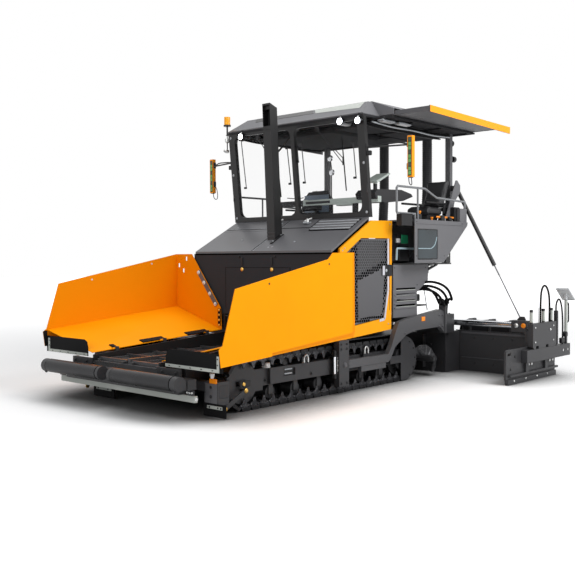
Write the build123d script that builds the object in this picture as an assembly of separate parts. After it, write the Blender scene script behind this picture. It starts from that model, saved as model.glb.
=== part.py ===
"""Tracked asphalt paver: hopper in front, tractor on two tracks, floating screed behind.

Millimetres, +Z up, the hopper faces -Y, the machine's left side is +X.
The origin is on the ground, under the middle of the machine's outline.
Lengthwise places are stations: distances behind the push rollers' axis, made into Y by at().
"""
from build123d import *
from math import atan2, ceil, cos, degrees, hypot, pi, radians, sin, tan
import os

# ---- whole machine ----
REAR_STATION = 6270          # rear edge of the screed's footboard
PUSH_ROLLER_R = 80
STATION_ZERO = -(REAR_STATION - PUSH_ROLLER_R) / 2
PLATE = 10                   # ordinary steel plate
SHEET = 6                    # folded sheet
RUNNING_GAP = 12             # between pieces that move past each other
SEAT_GAP = 0.3               # between pieces that only touch

# ---- tracks ----
TRACK_OUTER = 1240           # |x| of the shoes' outer ends
SHOE_WIDTH = 300
TRACK_INNER = TRACK_OUTER - SHOE_WIDTH
BODY_HALF = TRACK_OUTER + 10 # |x| of the tractor's side faces
IDLER_STATION, SPROCKET_STATION = 940, 3960
TRACK_R = 300                            # outer radius of the loop round its end wheels
SHOE_PITCH = 150
PAD_LENGTH, PAD_HEIGHT = 112, 26
SHOE_PLATE, SHOE_PLATE_LENGTH = 12, 140
CHAIN_HEIGHT = 34
CHAIN_WIDTH = 150
TRACK_MID = (TRACK_INNER + TRACK_OUTER) / 2
SHOE_HEIGHT = PAD_HEIGHT + SHOE_PLATE
CHAIN_INNER_R = TRACK_R - SHOE_HEIGHT - CHAIN_HEIGHT
ROLLER_R = 78
ROLLER_COUNT = 6
CARRIER_R = 40
CARRIER_SHARES = (0.18, 0.76)            # of the frame's length
TRACK_FRAME_HALF = 95
TRACK_FRAME_FRONT = IDLER_STATION + CHAIN_INNER_R + RUNNING_GAP
TRACK_FRAME_REAR = SPROCKET_STATION - CHAIN_INNER_R - RUNNING_GAP
TRACK_FRAME_LOW = 240
TRACK_FRAME_HIGH = 2 * TRACK_R - SHOE_HEIGHT - CHAIN_HEIGHT - 2 * CARRIER_R - RUNNING_GAP
CHEEK = 15                               # plates that hold a roller's ends
GUARD_R = 300
GUARD_INNER = TRACK_OUTER + 3
LINK_STATIONS = (600, 915)               # lower and upper pin of the link bar at a track's front
LINK_Z = (70, 232)
LASH_STATIONS = (1924, 3117)             # lashing eyes on the track frames
LASH_Z, LASH_R = 478, 16

# ---- chassis and tunnel ----
TUNNEL_HALF = TRACK_INNER - 340
CORNER_FRONT = 450                       # front of the weights at the machine's corners
BEAM_INNER = TUNNEL_HALF + 20
BEAM_OUTER = TRACK_INNER - 100
BEAM_FRONT, BEAM_REAR = 420, 4330
BEAM_LOW, BEAM_HIGH = 250, 560
TUNNEL_ROOF = 900
CONVEYOR_FLOOR = 470
SLAT_PITCH = 400
FENDER_Z = 640
FENDER_REAR = 4290
BULKHEAD_STATION = 2414
BULKHEAD_TOP = 1743
BULKHEAD_T = 25
PLATFORM_Z = 1600
PLATFORM_T = 20

# ---- front beam ----
BEAM_FACE = 150                          # station of the push beam's front
BAR_FRONT, BAR_REAR, BAR_LOW, BAR_HIGH = 200, 238, 186, 256
BAR_HALF = BODY_HALF - 16
ARM_PLACES = (110, BODY_HALF - 70)       # |x| of the rollers' arms

# ---- hopper wings ----
WING_X = 1620                            # |x| of the outer plates
WING_PLATE = 8
FOLD_FRONT = (TUNNEL_HALF + 45, 250, 572)        # |x|, station, z of the fold line
FOLD_REAR = (TUNNEL_HALF + 80, 2388, 705)
WING_HOLE_R = 13
LUG_STATIONS = (600, 1350, 2100)
LUG_HALF = 24
WING_PIN_R = 12
LUG_NOTCH = 44

# ---- side doors ----
DOOR_AXIS_STATION, DOOR_AXIS_OUT = 2700, 6
DOOR_HINGES = (950, 1580)
HINGE_R, HINGE_KNUCKLE = 10, 60
DOOR_REAR = 3585
MESH_PITCH, MESH_ROW = 128, 74           # of the door's long six-sided holes
MESH_LONG, MESH_HIGH = 92, 42

# ---- hood and screen ----
HOOD_REAR_STATION, HOOD_REAR_Z = 3202, 2205
HOOD_T = 30
SCREEN_HALF = BODY_HALF - 8
POST_WIDTH, MULLION_WIDTH, SILL_HEIGHT = 115, 64, 68
SCREEN_DEPTH, PANE_CORNER = 60, 95
SCREEN_TOP_STATION = 3070
STACK_SIDE, STACK_WALL = 140, 7
STACK_X, STACK_STATION = -95, 2690       # its right front foot
STACK_TOP = 3742

# ---- canopy ----
NOSE_HALF = BODY_HALF - 10
ROOF_HALF, CROWN_HALF = NOSE_HALF + 213, NOSE_HALF - 128
ROOF_FRONT, ROOF_SHOULDER, ROOF_REAR = 3052, 3430, 5540
CEILING_Z, CEILING_T = 3490, 22
NOSE_Z, ROOF_RIM_Z, ROOF_TOP_Z = CEILING_Z + 40, CEILING_Z + 116, CEILING_Z + 245
SCREEN_TOP_Z = CEILING_Z + 10
CROWN_FRONT = 3345
SPINE_HALF = 780
RUNNER_TOP = CEILING_Z + CEILING_T + 8   # bars the side roofs slide on
AWNING_OUT = 2000
AWNING_TRAVEL = 500
AWNING_T = 14

# ---- screed ----
PULL_STATION, PULL_Z = 2550, 360
PULL_PIN_R = 20
ARM_INNER = BODY_HALF + RUNNING_GAP
ARM_OUTER = ARM_INNER + 76
SADDLE_FRONT = 4860
MAIN_HALF = BODY_HALF
MAIN_FRONT, MAIN_REAR = 5030, 5415
MAIN_TOP = 590
EXT_FRONT = MAIN_REAR + 15
EXT_REAR = EXT_FRONT + 520
EXT_TOP = 600
EXT_INNER, EXT_OUTER = MAIN_HALF - 70, 2495      # |x| of an extension's ends, drawn out
GUIDE_STATION, GUIDE_Z, GUIDE_R = MAIN_FRONT + 180, 730, 45
GATE_T = 30
GATE_FRONT, GATE_REAR = 4430, 5890
GATE_HIGH = 460
CHANNEL_FRONT, CHANNEL_REAR = 4850, 6200
CHANNEL_LOW, CHANNEL_HIGH, CHANNEL_OUT = 262, 430, 90
AUGER_STATION, AUGER_Z, AUGER_R = 4620, 245, 190
AUGER_SHAFT_R, AUGER_PITCH, FLIGHT_T = 48, 330, 14
AUGER_IN, AUGER_OUT = 110, 1330
FLIGHT_STEPS = 12                        # flat plates in one turn
SUPPORT_HALF = 95
HOOD_PLATE_Z = 985                       # cover over the augers

# ---- stays ----
STAY_STATION = EXT_FRONT - 120
STAY_TOP = (ARM_INNER, 2690)             # |x|, z of the upper eye
STAY_FOOT = (2290, 812)                  # |x|, z of the lower eye
STAY_R, STAY_ROD_R = 29, 9
STAY_TUBE_SHARE = 0.6
STAY_PIN_R = 10

# ---- operator's place ----
CONSOLE_OUT, CONSOLE_IN = 1477, 860      # |x|
CONSOLE_TOP = 2190
CONSOLE_FRONT, CONSOLE_REAR = 3890, 5250
CONSOLE_SKIN = 12
SEAT_X, SEAT_HALF = 1120, 200
SEAT_FRONT, SEAT_BACK = 4450, 4900
DESK_BEAM = (3640, 3720, 2430, 2510)     # stations and heights of the rail that carries the desk
DESK_IN, DESK_OUT = 720, 1050
RAIL_X, RAIL_R = 1448, 15
SIGNAL_X, SIGNAL_STATION, SIGNAL_Z = 1820, 3285, (2683, 3199)
DUCT_R = 72
DUCT_PLACES = (700, -100)                # x of the two fume ducts


def at(station):
    """Y of a station."""
    return station + STATION_ZERO


def block(x0, x1, s0, s1, z0, z1):
    """A box between two corners; s0 and s1 are stations."""
    return Pos((x0 + x1) / 2, at((s0 + s1) / 2), (z0 + z1) / 2) * Box(x1 - x0, s1 - s0, z1 - z0)


def side_plate(points, x0, x1):
    """A plate between x0 and x1 with an outline of (station, z) points."""
    outline = Plane.YZ.offset(x0) * make_face(Polyline(*[(at(s), z) for s, z in points], close=True))
    return extrude(outline, x1 - x0)


def front_plate(points, s0, s1):
    """A plate between stations s0 and s1 with an outline of (x, z) points."""
    outline = Plane.XZ.offset(-at(s0)) * make_face(Polyline(*points, close=True))
    return extrude(outline, -(s1 - s0))


def hull_of(corners):
    """A solid between two matching rings of (x, station, z) corners."""
    low, high = corners
    rings = [make_face(Polyline(*[(x, at(s), z) for x, s, z in ring], close=True)) for ring in (low, high)]
    return loft(rings, ruled=True)


def thick_triangle(a, b, c, t):
    """A three-cornered plate with its top face through three (x, station, z) points."""
    return hull_of(([(x, s, z - t) for x, s, z in (a, b, c)], [a, b, c]))


def rod_x(station, z, r, x0, x1):
    return Pos((x0 + x1) / 2, at(station), z) * Rot(0, 90, 0) * Cylinder(r, x1 - x0)


def rod_y(x, z, r, s0, s1):
    return Pos(x, at((s0 + s1) / 2), z) * Rot(90, 0, 0) * Cylinder(r, s1 - s0)


def rod_z(x, station, r, z0, z1):
    return Pos(x, at(station), (z0 + z1) / 2) * Cylinder(r, z1 - z0)


def strut(a, b, r):
    """A round bar between two points given as (x, station, z)."""
    start, end = [Vector(x, at(s), z) for x, s, z in (a, b)]
    return Solid.make_cylinder(r, (end - start).length, Plane(origin=start, z_dir=end - start))


def flat_bar(a, b, half, x0, x1):
    """A flat bar between two (station, z) points, with square ends a half width past them."""
    run = hypot(b[0] - a[0], b[1] - a[1])
    u, v = (b[0] - a[0]) / run * half, (b[1] - a[1]) / run * half
    return side_plate([(a[0] - u - v, a[1] - v + u), (b[0] + u - v, b[1] + v + u),
                       (b[0] + u + v, b[1] + v - u), (a[0] - u + v, a[1] - v - u)], x0, x1)


def mitred_tube(points, r):
    """A round tube along (x, station, z) points with mitred corners."""
    path = Polyline(*[(x, at(s), z) for x, s, z in points])
    section = Plane(origin=path @ 0, z_dir=path % 0) * Circle(r)
    return sweep(section, path, transition=Transition.RIGHT)


def mirrored(shape):
    return mirror(shape, about=Plane.YZ)


def pair(*shapes):
    return list(shapes) + [mirrored(shape) for shape in shapes]


def join(*shapes):
    """One solid from touching shapes."""
    whole = shapes[0]
    for shape in shapes[1:]:
        whole = whole + shape
    return whole


def save(node, *shapes):
    solids = [solid for shape in shapes for solid in shape.solids()]
    export_step(solids[0] if len(solids) == 1 else Compound(children=solids), f"parts/{node}.step")


def save_sides(name, *shapes):
    """The machine's left piece, and its mirror image as the right one."""
    save(name + "_left", *shapes)
    save(name + "_right", *[mirrored(shape) for shape in shapes])


def steps(low, high, pitch):
    """Places from low to high, evenly spaced, about a pitch apart."""
    count = max(1, round((high - low) / pitch))
    return [low + i * (high - low) / count for i in range(count + 1)]


# ---------------------------------------------------------------- tracks
def loop_outline(r):
    """A track loop's outline with end radius r."""
    z, front, rear = TRACK_R, at(IDLER_STATION), at(SPROCKET_STATION)
    return make_face([
        Line((front, z + r), (rear, z + r)),
        ThreePointArc((rear, z + r), (rear + r, z), (rear, z - r)),
        Line((rear, z - r), (front, z - r)),
        ThreePointArc((front, z - r), (front - r, z), (front, z + r)),
    ])


def loop_point(run, r):
    """Y, Z and pitch angle at a run along the loop of end radius r, from the top's front end."""
    front, rear, z = at(IDLER_STATION), at(SPROCKET_STATION), TRACK_R
    straight, bend = rear - front, pi * r
    if run < straight:
        return front + run, z + r, 0
    run -= straight
    if run < bend:
        a = run / r
        return rear + r * sin(a), z + r * cos(a), -degrees(a)
    run -= bend
    if run < straight:
        return rear - run, z - r, 180
    a = (run - straight) / r
    return front - r * sin(a), z - r * cos(a), 180 - degrees(a)


def shoe():
    """A shoe at the origin: its plate, with the tapered pad moulded on it."""
    plate, pad, top = SHOE_PLATE_LENGTH / 2, PAD_LENGTH / 2, SHOE_HEIGHT
    profile = Polyline((-plate, -1), (plate, -1), (plate, SHOE_PLATE), (pad, top), (-pad, top),
                       (-plate, SHOE_PLATE), close=True)
    return extrude(Plane.YZ.offset(TRACK_INNER) * make_face(profile), TRACK_OUTER - TRACK_INNER)


def track():
    """One closed loop: the chain's band with a shoe on every pitch, its pads flat on the ground."""
    r = TRACK_R - SHOE_HEIGHT
    length = 2 * (SPROCKET_STATION - IDLER_STATION) + 2 * pi * r
    count = round(length / SHOE_PITCH)
    band = Plane.YZ.offset(TRACK_MID - CHAIN_WIDTH / 2) * (loop_outline(r) - loop_outline(CHAIN_INNER_R))
    shoes, piece = [], shoe()
    for i in range(count):
        y, z, turn = loop_point((i + 0.5) * length / count, r)
        shoes.append(Pos(0, y, z) * Rot(turn, 0, 0) * piece)
    loop = extrude(band, CHAIN_WIDTH).fuse(*shoes)
    ground = block(TRACK_INNER - 1, TRACK_OUTER + 1, IDLER_STATION - 2 * TRACK_R,
                   SPROCKET_STATION + 2 * TRACK_R, -TRACK_R, 0)
    return loop - ground


def roller_places():
    """Station, z and radius of the track rollers and the two carriers above the frame."""
    low = TRACK_R - CHAIN_INNER_R + ROLLER_R + SEAT_GAP
    high = TRACK_R + CHAIN_INNER_R - CARRIER_R - SEAT_GAP
    length = TRACK_FRAME_REAR - TRACK_FRAME_FRONT
    step = length / ROLLER_COUNT
    places = [(TRACK_FRAME_FRONT + (i + 0.5) * step, low, ROLLER_R) for i in range(ROLLER_COUNT)]
    return places + [(TRACK_FRAME_FRONT + share * length, high, CARRIER_R) for share in CARRIER_SHARES]


def track_frame(linked):
    """The box beam inside a track, the idler's cheeks, the rollers' cheeks and what is bolted outside."""
    inner, outer = TRACK_MID - TRACK_FRAME_HALF, TRACK_MID + TRACK_FRAME_HALF
    low, high = TRACK_FRAME_LOW, TRACK_FRAME_HIGH
    beam = block(inner, outer, TRACK_FRAME_FRONT, TRACK_FRAME_REAR, low, high)
    foot = block(BEAM_OUTER, TRACK_MID, 2100, 2500, low + 20, high - 20)
    fork = block(inner, inner + CHEEK, IDLER_STATION - 60, TRACK_FRAME_FRONT, TRACK_R - 60, TRACK_R + 60)
    cover = rod_x(IDLER_STATION, TRACK_R, CHAIN_INNER_R, outer - CHEEK, outer)
    cover = cover + block(outer - CHEEK, outer, IDLER_STATION, TRACK_FRAME_FRONT + 80, TRACK_R - 110,
                          high)
    slot = block(outer - CHEEK - 1, outer + 1, IDLER_STATION - 105, IDLER_STATION - 45, TRACK_R - 25,
                 TRACK_R + 25)
    cheeks = []
    for station, z, r in roller_places():
        for x in (inner, outer - CHEEK):
            cheeks.append(block(x, x + CHEEK, station - 35, station + 35, min(z - 25, high - 20),
                                max(z + 25, low + 20)))
    case = block(outer, TRACK_OUTER - 12, TRACK_FRAME_FRONT + 160, PULL_STATION - 60, low + 10, high)
    pocket = block(TRACK_OUTER - 40, TRACK_OUTER, 1565, 1765, 318, 402)
    frame = beam.fuse(foot, fork, cover - slot, case - pocket, *cheeks, *lashing_lugs(), sprocket_guard())
    if linked:
        frame = frame + link_bar()
    for station in LASH_STATIONS:
        frame = frame - rod_x(station, LASH_Z, LASH_R, outer, TRACK_OUTER + 10)
    return frame


def lashing_lugs():
    """Plates that stand on the frame, each later bored for a shackle."""
    outer = TRACK_MID + TRACK_FRAME_HALF
    return [block(outer, TRACK_OUTER - 10, s - 38, s + 38, TRACK_FRAME_HIGH - 40, TRACK_FRAME_HIGH) +
            block(TRACK_OUTER - 26, TRACK_OUTER - 10, s - 38, s + 38, TRACK_FRAME_HIGH, LASH_Z + 36)
            for s in LASH_STATIONS]


def sprocket_guard():
    """Half-round plate outside the sprocket and the outrigger that carries it."""
    outer = TRACK_MID + TRACK_FRAME_HALF
    z = TRACK_R + 10
    disc = rod_x(SPROCKET_STATION, z, GUARD_R, GUARD_INNER, GUARD_INNER + PLATE)
    front = block(GUARD_INNER - 1, GUARD_INNER + PLATE + 1, SPROCKET_STATION - 2 * GUARD_R,
                  SPROCKET_STATION - 70, z - 2 * GUARD_R, z + 2 * GUARD_R)
    arm = block(GUARD_INNER, GUARD_INNER + PLATE, TRACK_FRAME_REAR - 80, SPROCKET_STATION, z - 55, z + 45)
    rigger = block(outer, GUARD_INNER, TRACK_FRAME_REAR - 80, TRACK_FRAME_REAR - 10, z - 55, z + 45)
    return join(disc - front, arm, rigger)


def link_bar():
    """Flat bar from the idler's cheek down to the corner block, on a pin at each end."""
    outer = TRACK_MID + TRACK_FRAME_HALF
    (low_s, high_s), (low_z, high_z) = LINK_STATIONS, LINK_Z
    bar = flat_bar((low_s, low_z), (high_s, high_z), 26, BODY_HALF + 2, BODY_HALF + 17)
    pins = [rod_x(high_s, high_z, 16, outer - 1, BODY_HALF + 24),
            rod_x(low_s, low_z, 16, BODY_HALF - 1, BODY_HALF + 24)]
    return join(bar, *pins)


def idler():
    w = TRACK_FRAME_HALF - CHEEK - SEAT_GAP
    return join(rod_x(IDLER_STATION, TRACK_R, CHAIN_INNER_R - SEAT_GAP, TRACK_MID - 55, TRACK_MID + 55),
                rod_x(IDLER_STATION, TRACK_R, 38, TRACK_MID - w, TRACK_MID + w))


def sprocket():
    """Drive wheel with its planetary hub, which is bolted to the chassis beam."""
    return join(rod_x(SPROCKET_STATION, TRACK_R, CHAIN_INNER_R - SEAT_GAP, TRACK_MID - 45, TRACK_MID + 45),
                rod_x(SPROCKET_STATION, TRACK_R, 150, BEAM_OUTER + SEAT_GAP, TRACK_MID + 120))


def rollers():
    w = TRACK_FRAME_HALF - CHEEK - SEAT_GAP
    return [rod_x(station, z, r, TRACK_MID - w, TRACK_MID + w) for station, z, r in roller_places()]


# ---------------------------------------------------------------- chassis
def chassis_beam(linked):
    beam = block(BEAM_INNER, BEAM_OUTER, BEAM_FRONT, BEAM_REAR, BEAM_LOW, BEAM_HIGH)
    web = block(BEAM_INNER, BEAM_INNER + 20, BULKHEAD_STATION + 30, BEAM_REAR, BEAM_HIGH, TUNNEL_ROOF)
    lugs = [wing_hinge_lug(station) for station in LUG_STATIONS]
    return beam.fuse(web, corner_block(linked), *lugs)


def corner_block(linked):
    """Weight at the machine's corner; the left one has the ear for the link bar's lower pin."""
    inner, outer = BODY_HALF - 150, BODY_HALF + 60
    weight = block(inner, outer, CORNER_FRONT, 615, 130, 378)
    tie = block(BEAM_OUTER, inner, 470, 600, BEAM_LOW + 12, 360)
    if not linked:
        return join(weight, tie)
    s, z = LINK_STATIONS[0], LINK_Z[0]
    ear = block(BODY_HALF - 22, BODY_HALF - 2, 500, s + 34, z - 30, 140)
    return join(weight, tie, ear) - rod_x(s, z, 16 + SEAT_GAP, BODY_HALF - 23, BODY_HALF)


def mud_flap(x0, x1, rear, top):
    """Rubber flap held under a bolted strip."""
    flap = block(x0, x1, rear - PLATE, rear, 12, top)
    strip = block(x0 + 60, x1 - 50, rear - PLATE - SHEET, rear - PLATE, 96, 130)
    return join(flap, strip)


def belly_plate():
    return block(-BEAM_INNER, BEAM_INNER, BEAM_FRONT, BEAM_REAR, BEAM_LOW, BEAM_LOW + 12)


def tunnel_roof():
    return block(-BEAM_INNER - 20, BEAM_INNER + 20, BULKHEAD_STATION + 30, BEAM_REAR - 100,
                 TUNNEL_ROOF, TUNNEL_ROOF + 20)


def rear_wall():
    half = BODY_HALF - 30 - SEAT_GAP
    return block(-half, half, 4200, 4220, TUNNEL_ROOF + 20 + SEAT_GAP, PLATFORM_Z - PLATFORM_T - SEAT_GAP)


def fender():
    inner = BEAM_INNER + 20
    deck = block(inner, BODY_HALF, BULKHEAD_STATION, FENDER_REAR, FENDER_Z, FENDER_Z + 15)
    front = block(inner, BODY_HALF, BULKHEAD_STATION, BULKHEAD_STATION + BULKHEAD_T, FENDER_Z + 15,
                  TUNNEL_ROOF + 20)
    post = block(inner, BEAM_OUTER, BULKHEAD_STATION, FENDER_REAR, BEAM_HIGH, FENDER_Z)
    return join(deck, front, post)


def engine_block():
    return block(-550, 550, BULKHEAD_STATION + 150, HOOD_REAR_STATION, TUNNEL_ROOF + 20, 1680)


# ---------------------------------------------------------------- conveyors and apron
def conveyor_floor():
    """Steel floor under the conveyors, from the front apron to the auger."""
    deck = block(-TUNNEL_HALF, TUNNEL_HALF, 242, BEAM_REAR, CONVEYOR_FLOOR, CONVEYOR_FLOOR + 12)
    apron = block(-TUNNEL_HALF, TUNNEL_HALF, 242, 254, 431, CONVEYOR_FLOOR + 12)
    divider = block(-25, 25, 300, BEAM_REAR - 60, CONVEYOR_FLOOR + 12, CONVEYOR_FLOOR + 70)
    return join(deck, apron, divider)


def hopper_skirt():
    """Upright strip between the conveyor and a wing's fold line."""
    rear = BULKHEAD_STATION - 12
    outline = [(BEAM_FRONT - 180, CONVEYOR_FLOOR), (rear, CONVEYOR_FLOOR), (rear, FOLD_REAR[2] - 25),
               (BEAM_FRONT - 180, FOLD_FRONT[2] - 25)]
    return side_plate(outline, TUNNEL_HALF + SEAT_GAP, BEAM_INNER - SEAT_GAP)


def conveyor():
    """One conveyor: two chain strands with slats across them."""
    z = CONVEYOR_FLOOR + 12 + SEAT_GAP
    inner, outer = 45, TUNNEL_HALF - 20
    strands = [block(x, x + 40, 260, BEAM_REAR, z, z + 22) for x in (inner + 20, outer - 60)]
    slats = [block(inner, outer, s, s + 34, z + 4, z + 40) for s in steps(300, BEAM_REAR - 60, SLAT_PITCH)]
    return strands[0].fuse(strands[1], *slats)


# ---------------------------------------------------------------- push beam
def push_beam():
    """Cross beam on the lower bar, with the push rollers' arms and an upper plate at each side."""
    inner, outer = ARM_PLACES
    beam = block(140 - outer, outer - 140, BEAM_FACE, BEAM_FACE + 90, BAR_HIGH + SEAT_GAP, 430)
    arms = [side_plate([(-52, 372), (-30, 345), (BEAM_FACE, 318), (BEAM_FACE, 430), (-30, 455), (-52, 428)],
                       x - 25, x + 25) for x in (-outer, -inner, inner, outer)]
    ends = [block(min(a, b), max(a, b), 120, 240, 320, 430)
            for a, b in ((outer - 140, outer + 35), (140 - outer, -outer - 35))]
    keel = block(-BEAM_OUTER, BEAM_OUTER, 240, BEAM_FRONT - SEAT_GAP, BEAM_LOW + 12, 400)
    plates = [block(min(a, b), max(a, b), 205, 240, 429, 510)
              for a, b in ((TUNNEL_HALF + 12, 985), (-TUNNEL_HALF - 12, -985))]
    low, high = outer - 24, outer + 58
    bosses = [rod_x(0, 400, PUSH_ROLLER_R - 2, a, b)
              for a, b in ((low, high), (-high, -low), (inner - 24, inner + 24), (-inner - 24, 24 - inner))]
    return beam.fuse(*arms, *bosses, *ends, keel, *plates)


def lower_bar():
    """Square bar under the push beam."""
    return block(-BAR_HALF, BAR_HALF, BAR_FRONT, BAR_REAR, BAR_LOW, BAR_HIGH)


def push_roller():
    """Tube on a thinner journal between two arms."""
    inner, outer = ARM_PLACES
    body = rod_x(0, 400, PUSH_ROLLER_R, inner + 35, outer - 35)
    return join(body, rod_x(0, 400, 30, inner + 25 + SEAT_GAP, outer - 25 - SEAT_GAP))


# ---------------------------------------------------------------- hopper wings
def fold_point(station, lift=0):
    """A point on the fold line, or lifted above it."""
    share = (station - FOLD_FRONT[1]) / (FOLD_REAR[1] - FOLD_FRONT[1])
    x, z = [FOLD_FRONT[i] + share * (FOLD_REAR[i] - FOLD_FRONT[i]) for i in (0, 2)]
    return x, station, z + lift


def wing_hinge_lug(station):
    """A lug on the chassis with a bore for the wing's pin."""
    x, s, z = fold_point(station)
    lug = block(x - LUG_HALF, x + LUG_HALF, s - LUG_HALF, s + LUG_HALF, BEAM_HIGH, z + 20)
    return lug - strut(fold_point(s - 60), fold_point(s + 60), WING_PIN_R + SEAT_GAP)


def wing(ear):
    """Outer plate with its bottom edge bent in, sloping floor and rear wall of one wing.

    The left wing's top edge steps up to a raised ear, the right one's runs straight.
    """
    t = WING_PLATE
    top = [(1900, 1663), (1984, 1734), (2387, 1742)] if ear else [(2369, 1742), (2387, 1742)]
    outer = side_plate([(210, 580), (184, 765), (236, 800), (416, 1366), *top, (2398, 728)], WING_X - t,
                       WING_X)
    tuck = side_plate([(960, 600), (960, 670), (2399, 800), (2399, 600)], WING_X - t - 1, WING_X + 1)
    low, high = WING_X - 26, WING_X
    hem = hull_of(([(low - t, 960, 631), (high - t, 960, 670), (high, 960, 670), (low, 960, 631)],
                   [(low - t, 2398, 728), (high - t, 2398, 800), (high, 2398, 800), (low, 2398, 728)]))
    fx, fs, fz = FOLD_FRONT
    rx, rs, rz = FOLD_REAR
    corners = [(fx, fs, fz), (WING_X - t, fs, 790), (WING_X - t, rs, 996), (rx, rs, rz)]
    floor = join(thick_triangle(corners[0], corners[1], corners[2], t),
                 thick_triangle(corners[0], corners[2], corners[3], t))
    rear = front_plate([(rx, rz), (WING_X - t, 980), (WING_X - t, 1742), (1290, 1742), (700, 1000)], rs - t,
                       rs)
    shell = join(outer - tuck, hem, floor, rear)
    for station, z in ((920, 1407), (1920, 1607)):
        shell = shell - rod_x(station, z, WING_HOLE_R, WING_X - t - 1, WING_X + 1)
    for x, z in ((1406, 1677), (1605 - 40, 1582), (1470, 1507)):
        shell = shell - block(x - 17, x + 17, rs - t - 1, rs + 1, z - 28, z + 28)
    for station in LUG_STATIONS:
        x, s, z = fold_point(station)
        notch = block(x - LUG_NOTCH, x + LUG_NOTCH, s - LUG_HALF - 8, s + LUG_HALF + 8, z - 60, z + 60)
        shell = shell - notch + strut(fold_point(s - LUG_HALF - 40), fold_point(s + LUG_HALF + 40),
                                      WING_PIN_R)
    return shell


def wing_flap():
    """Rubber flap across a wing's front, its inner top corner cut off, with its clamping strips."""
    rear = FOLD_FRONT[1] - SEAT_GAP
    out, edge = WING_X - 40, WING_X - WING_PLATE - 1
    flap = front_plate([(725, 520), (edge, 520), (edge, 715), (800, 715), (745, 690), (725, 620)],
                       rear - 12, rear)
    low = block(725, out - 10, rear - 12 - SHEET, rear - 12, 522, 556)
    side = block(out - 46, out - 10, rear - 12 - SHEET, rear - 12, 556, 690)
    return join(flap, low, side)


# ---------------------------------------------------------------- tractor body
def bulkhead():
    """Wall behind the hopper with its raised access panel."""
    half = BODY_HALF + 20
    wall = block(-half, half, BULKHEAD_STATION, BULKHEAD_STATION + BULKHEAD_T,
                 TUNNEL_ROOF + 20 + SEAT_GAP, BULKHEAD_TOP)
    panel = block(-624, 566, BULKHEAD_STATION - 4, BULKHEAD_STATION, TUNNEL_ROOF + 80, 1560)
    return join(wall, panel)


def hood_rise():
    """Slope of the hood as rise over run."""
    return (HOOD_REAR_Z - BULKHEAD_TOP - HOOD_T) / (HOOD_REAR_STATION - BULKHEAD_STATION)


def hood():
    """Sloping cover from the bulkhead's top edge up to the screen, with its seams and louvres."""
    front, rear = BULKHEAD_STATION, HOOD_REAR_STATION
    half = BODY_HALF - 5
    low = [(-half, half, front, BULKHEAD_TOP + SEAT_GAP), (30 - half, half - 30, rear, HOOD_REAR_Z - HOOD_T)]
    rings = []
    for lift in (0, HOOD_T):
        (x0, x1, s0, z0), (x2, x3, s1, z1) = low
        rings.append([(x0, s0, z0 + lift), (x1, s0, z0 + lift), (x3, s1, z1 + lift), (x2, s1, z1 + lift)])
    slab = hull_of(rings)
    tilt = atan2(HOOD_REAR_Z - HOOD_T - BULKHEAD_TOP, rear - front)
    top = Plane(origin=(0, at(front), BULKHEAD_TOP + HOOD_T + SEAT_GAP), x_dir=(1, 0, 0),
                z_dir=(0, -sin(tilt), cos(tilt)))
    run = hypot(rear - front, HOOD_REAR_Z - HOOD_T - BULKHEAD_TOP)
    for x0, x1, u0, u1 in ((-130, -126, 0, run), (-1240, -130, 0.66 * run, 0.66 * run + 4),
                           (-130, 420, 0.7 * run, 0.7 * run + 4), (420, 424, 0.55 * run, run)):
        slab = slab - top * Pos((x0 + x1) / 2, (u0 + u1) / 2, 0) * Box(x1 - x0, u1 - u0, 8)
    for i in range(4):
        louvre = Pos(800, (0.66 + 0.075 * i) * run, 6) * Rot(24, 0, 0) * Box(680, 46, 8)
        foot = Pos(800, (0.66 + 0.075 * i) * run + 10, 0) * Box(680, 14, 24)
        slab = slab + top * louvre + top * foot
    return slab


def exhaust_stack():
    """Square pipe that leans forward, closed on top, with its mouth in the front face."""
    rise, side, wall = hood_rise(), STACK_SIDE, STACK_WALL
    x, s = STACK_X, STACK_STATION
    foot = [(px, ps, BULKHEAD_TOP + HOOD_T + 2 * SEAT_GAP + (ps - BULKHEAD_STATION) * rise)
            for px, ps in ((x, s), (x + side, s), (x + side, s + side), (x, s + side))]
    lean = 90
    head = [(px, ps - lean, z) for px, ps, z in ((x, s, STACK_TOP), (x + side, s, STACK_TOP),
                                                 (x + side, s + side, STACK_TOP - 50), (x, s + side,
                                                                                        STACK_TOP - 50))]
    mouth = block(x + wall, x + side - wall, s - lean - 40, s - lean + 40, STACK_TOP - 280, STACK_TOP - 25)
    hollow = block(x + wall, x + side - wall, s - lean + wall, s - lean + side - wall - 20,
                   STACK_TOP - 300, STACK_TOP - 75)
    return hull_of((foot, head)) - mouth - hollow


def side_frame():
    """Orange frame round a side door, with its slanting front strap."""
    low = FENDER_Z + 15 + SEAT_GAP
    outline = side_plate([(2573, 1790), (3232, 2160), (3687, 2170), (3665, 724), (2640, low), (2573, low)],
                         BODY_HALF - 30, BODY_HALF)
    hole = side_plate(door_points(0), BODY_HALF - 31, BODY_HALF + 1)
    frame = outline - hole
    for z in DOOR_HINGES:
        frame = frame + hinge_leaf(z, -1) - hinge_room(z + HINGE_KNUCKLE)
    return frame


def hinge_leaf(z, side):
    """A knuckle on the door's axis with its leaf; side -1 is the frame's, 1 the door's."""
    knuckle = rod_z(BODY_HALF + DOOR_AXIS_OUT, DOOR_AXIS_STATION, HINGE_R, z, z + HINGE_KNUCKLE - 1)
    leaf = block(BODY_HALF - 6, BODY_HALF + DOOR_AXIS_OUT, DOOR_AXIS_STATION + min(0, side * 45),
                 DOOR_AXIS_STATION + max(0, side * 45), z, z + HINGE_KNUCKLE - 1)
    return knuckle + leaf


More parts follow.
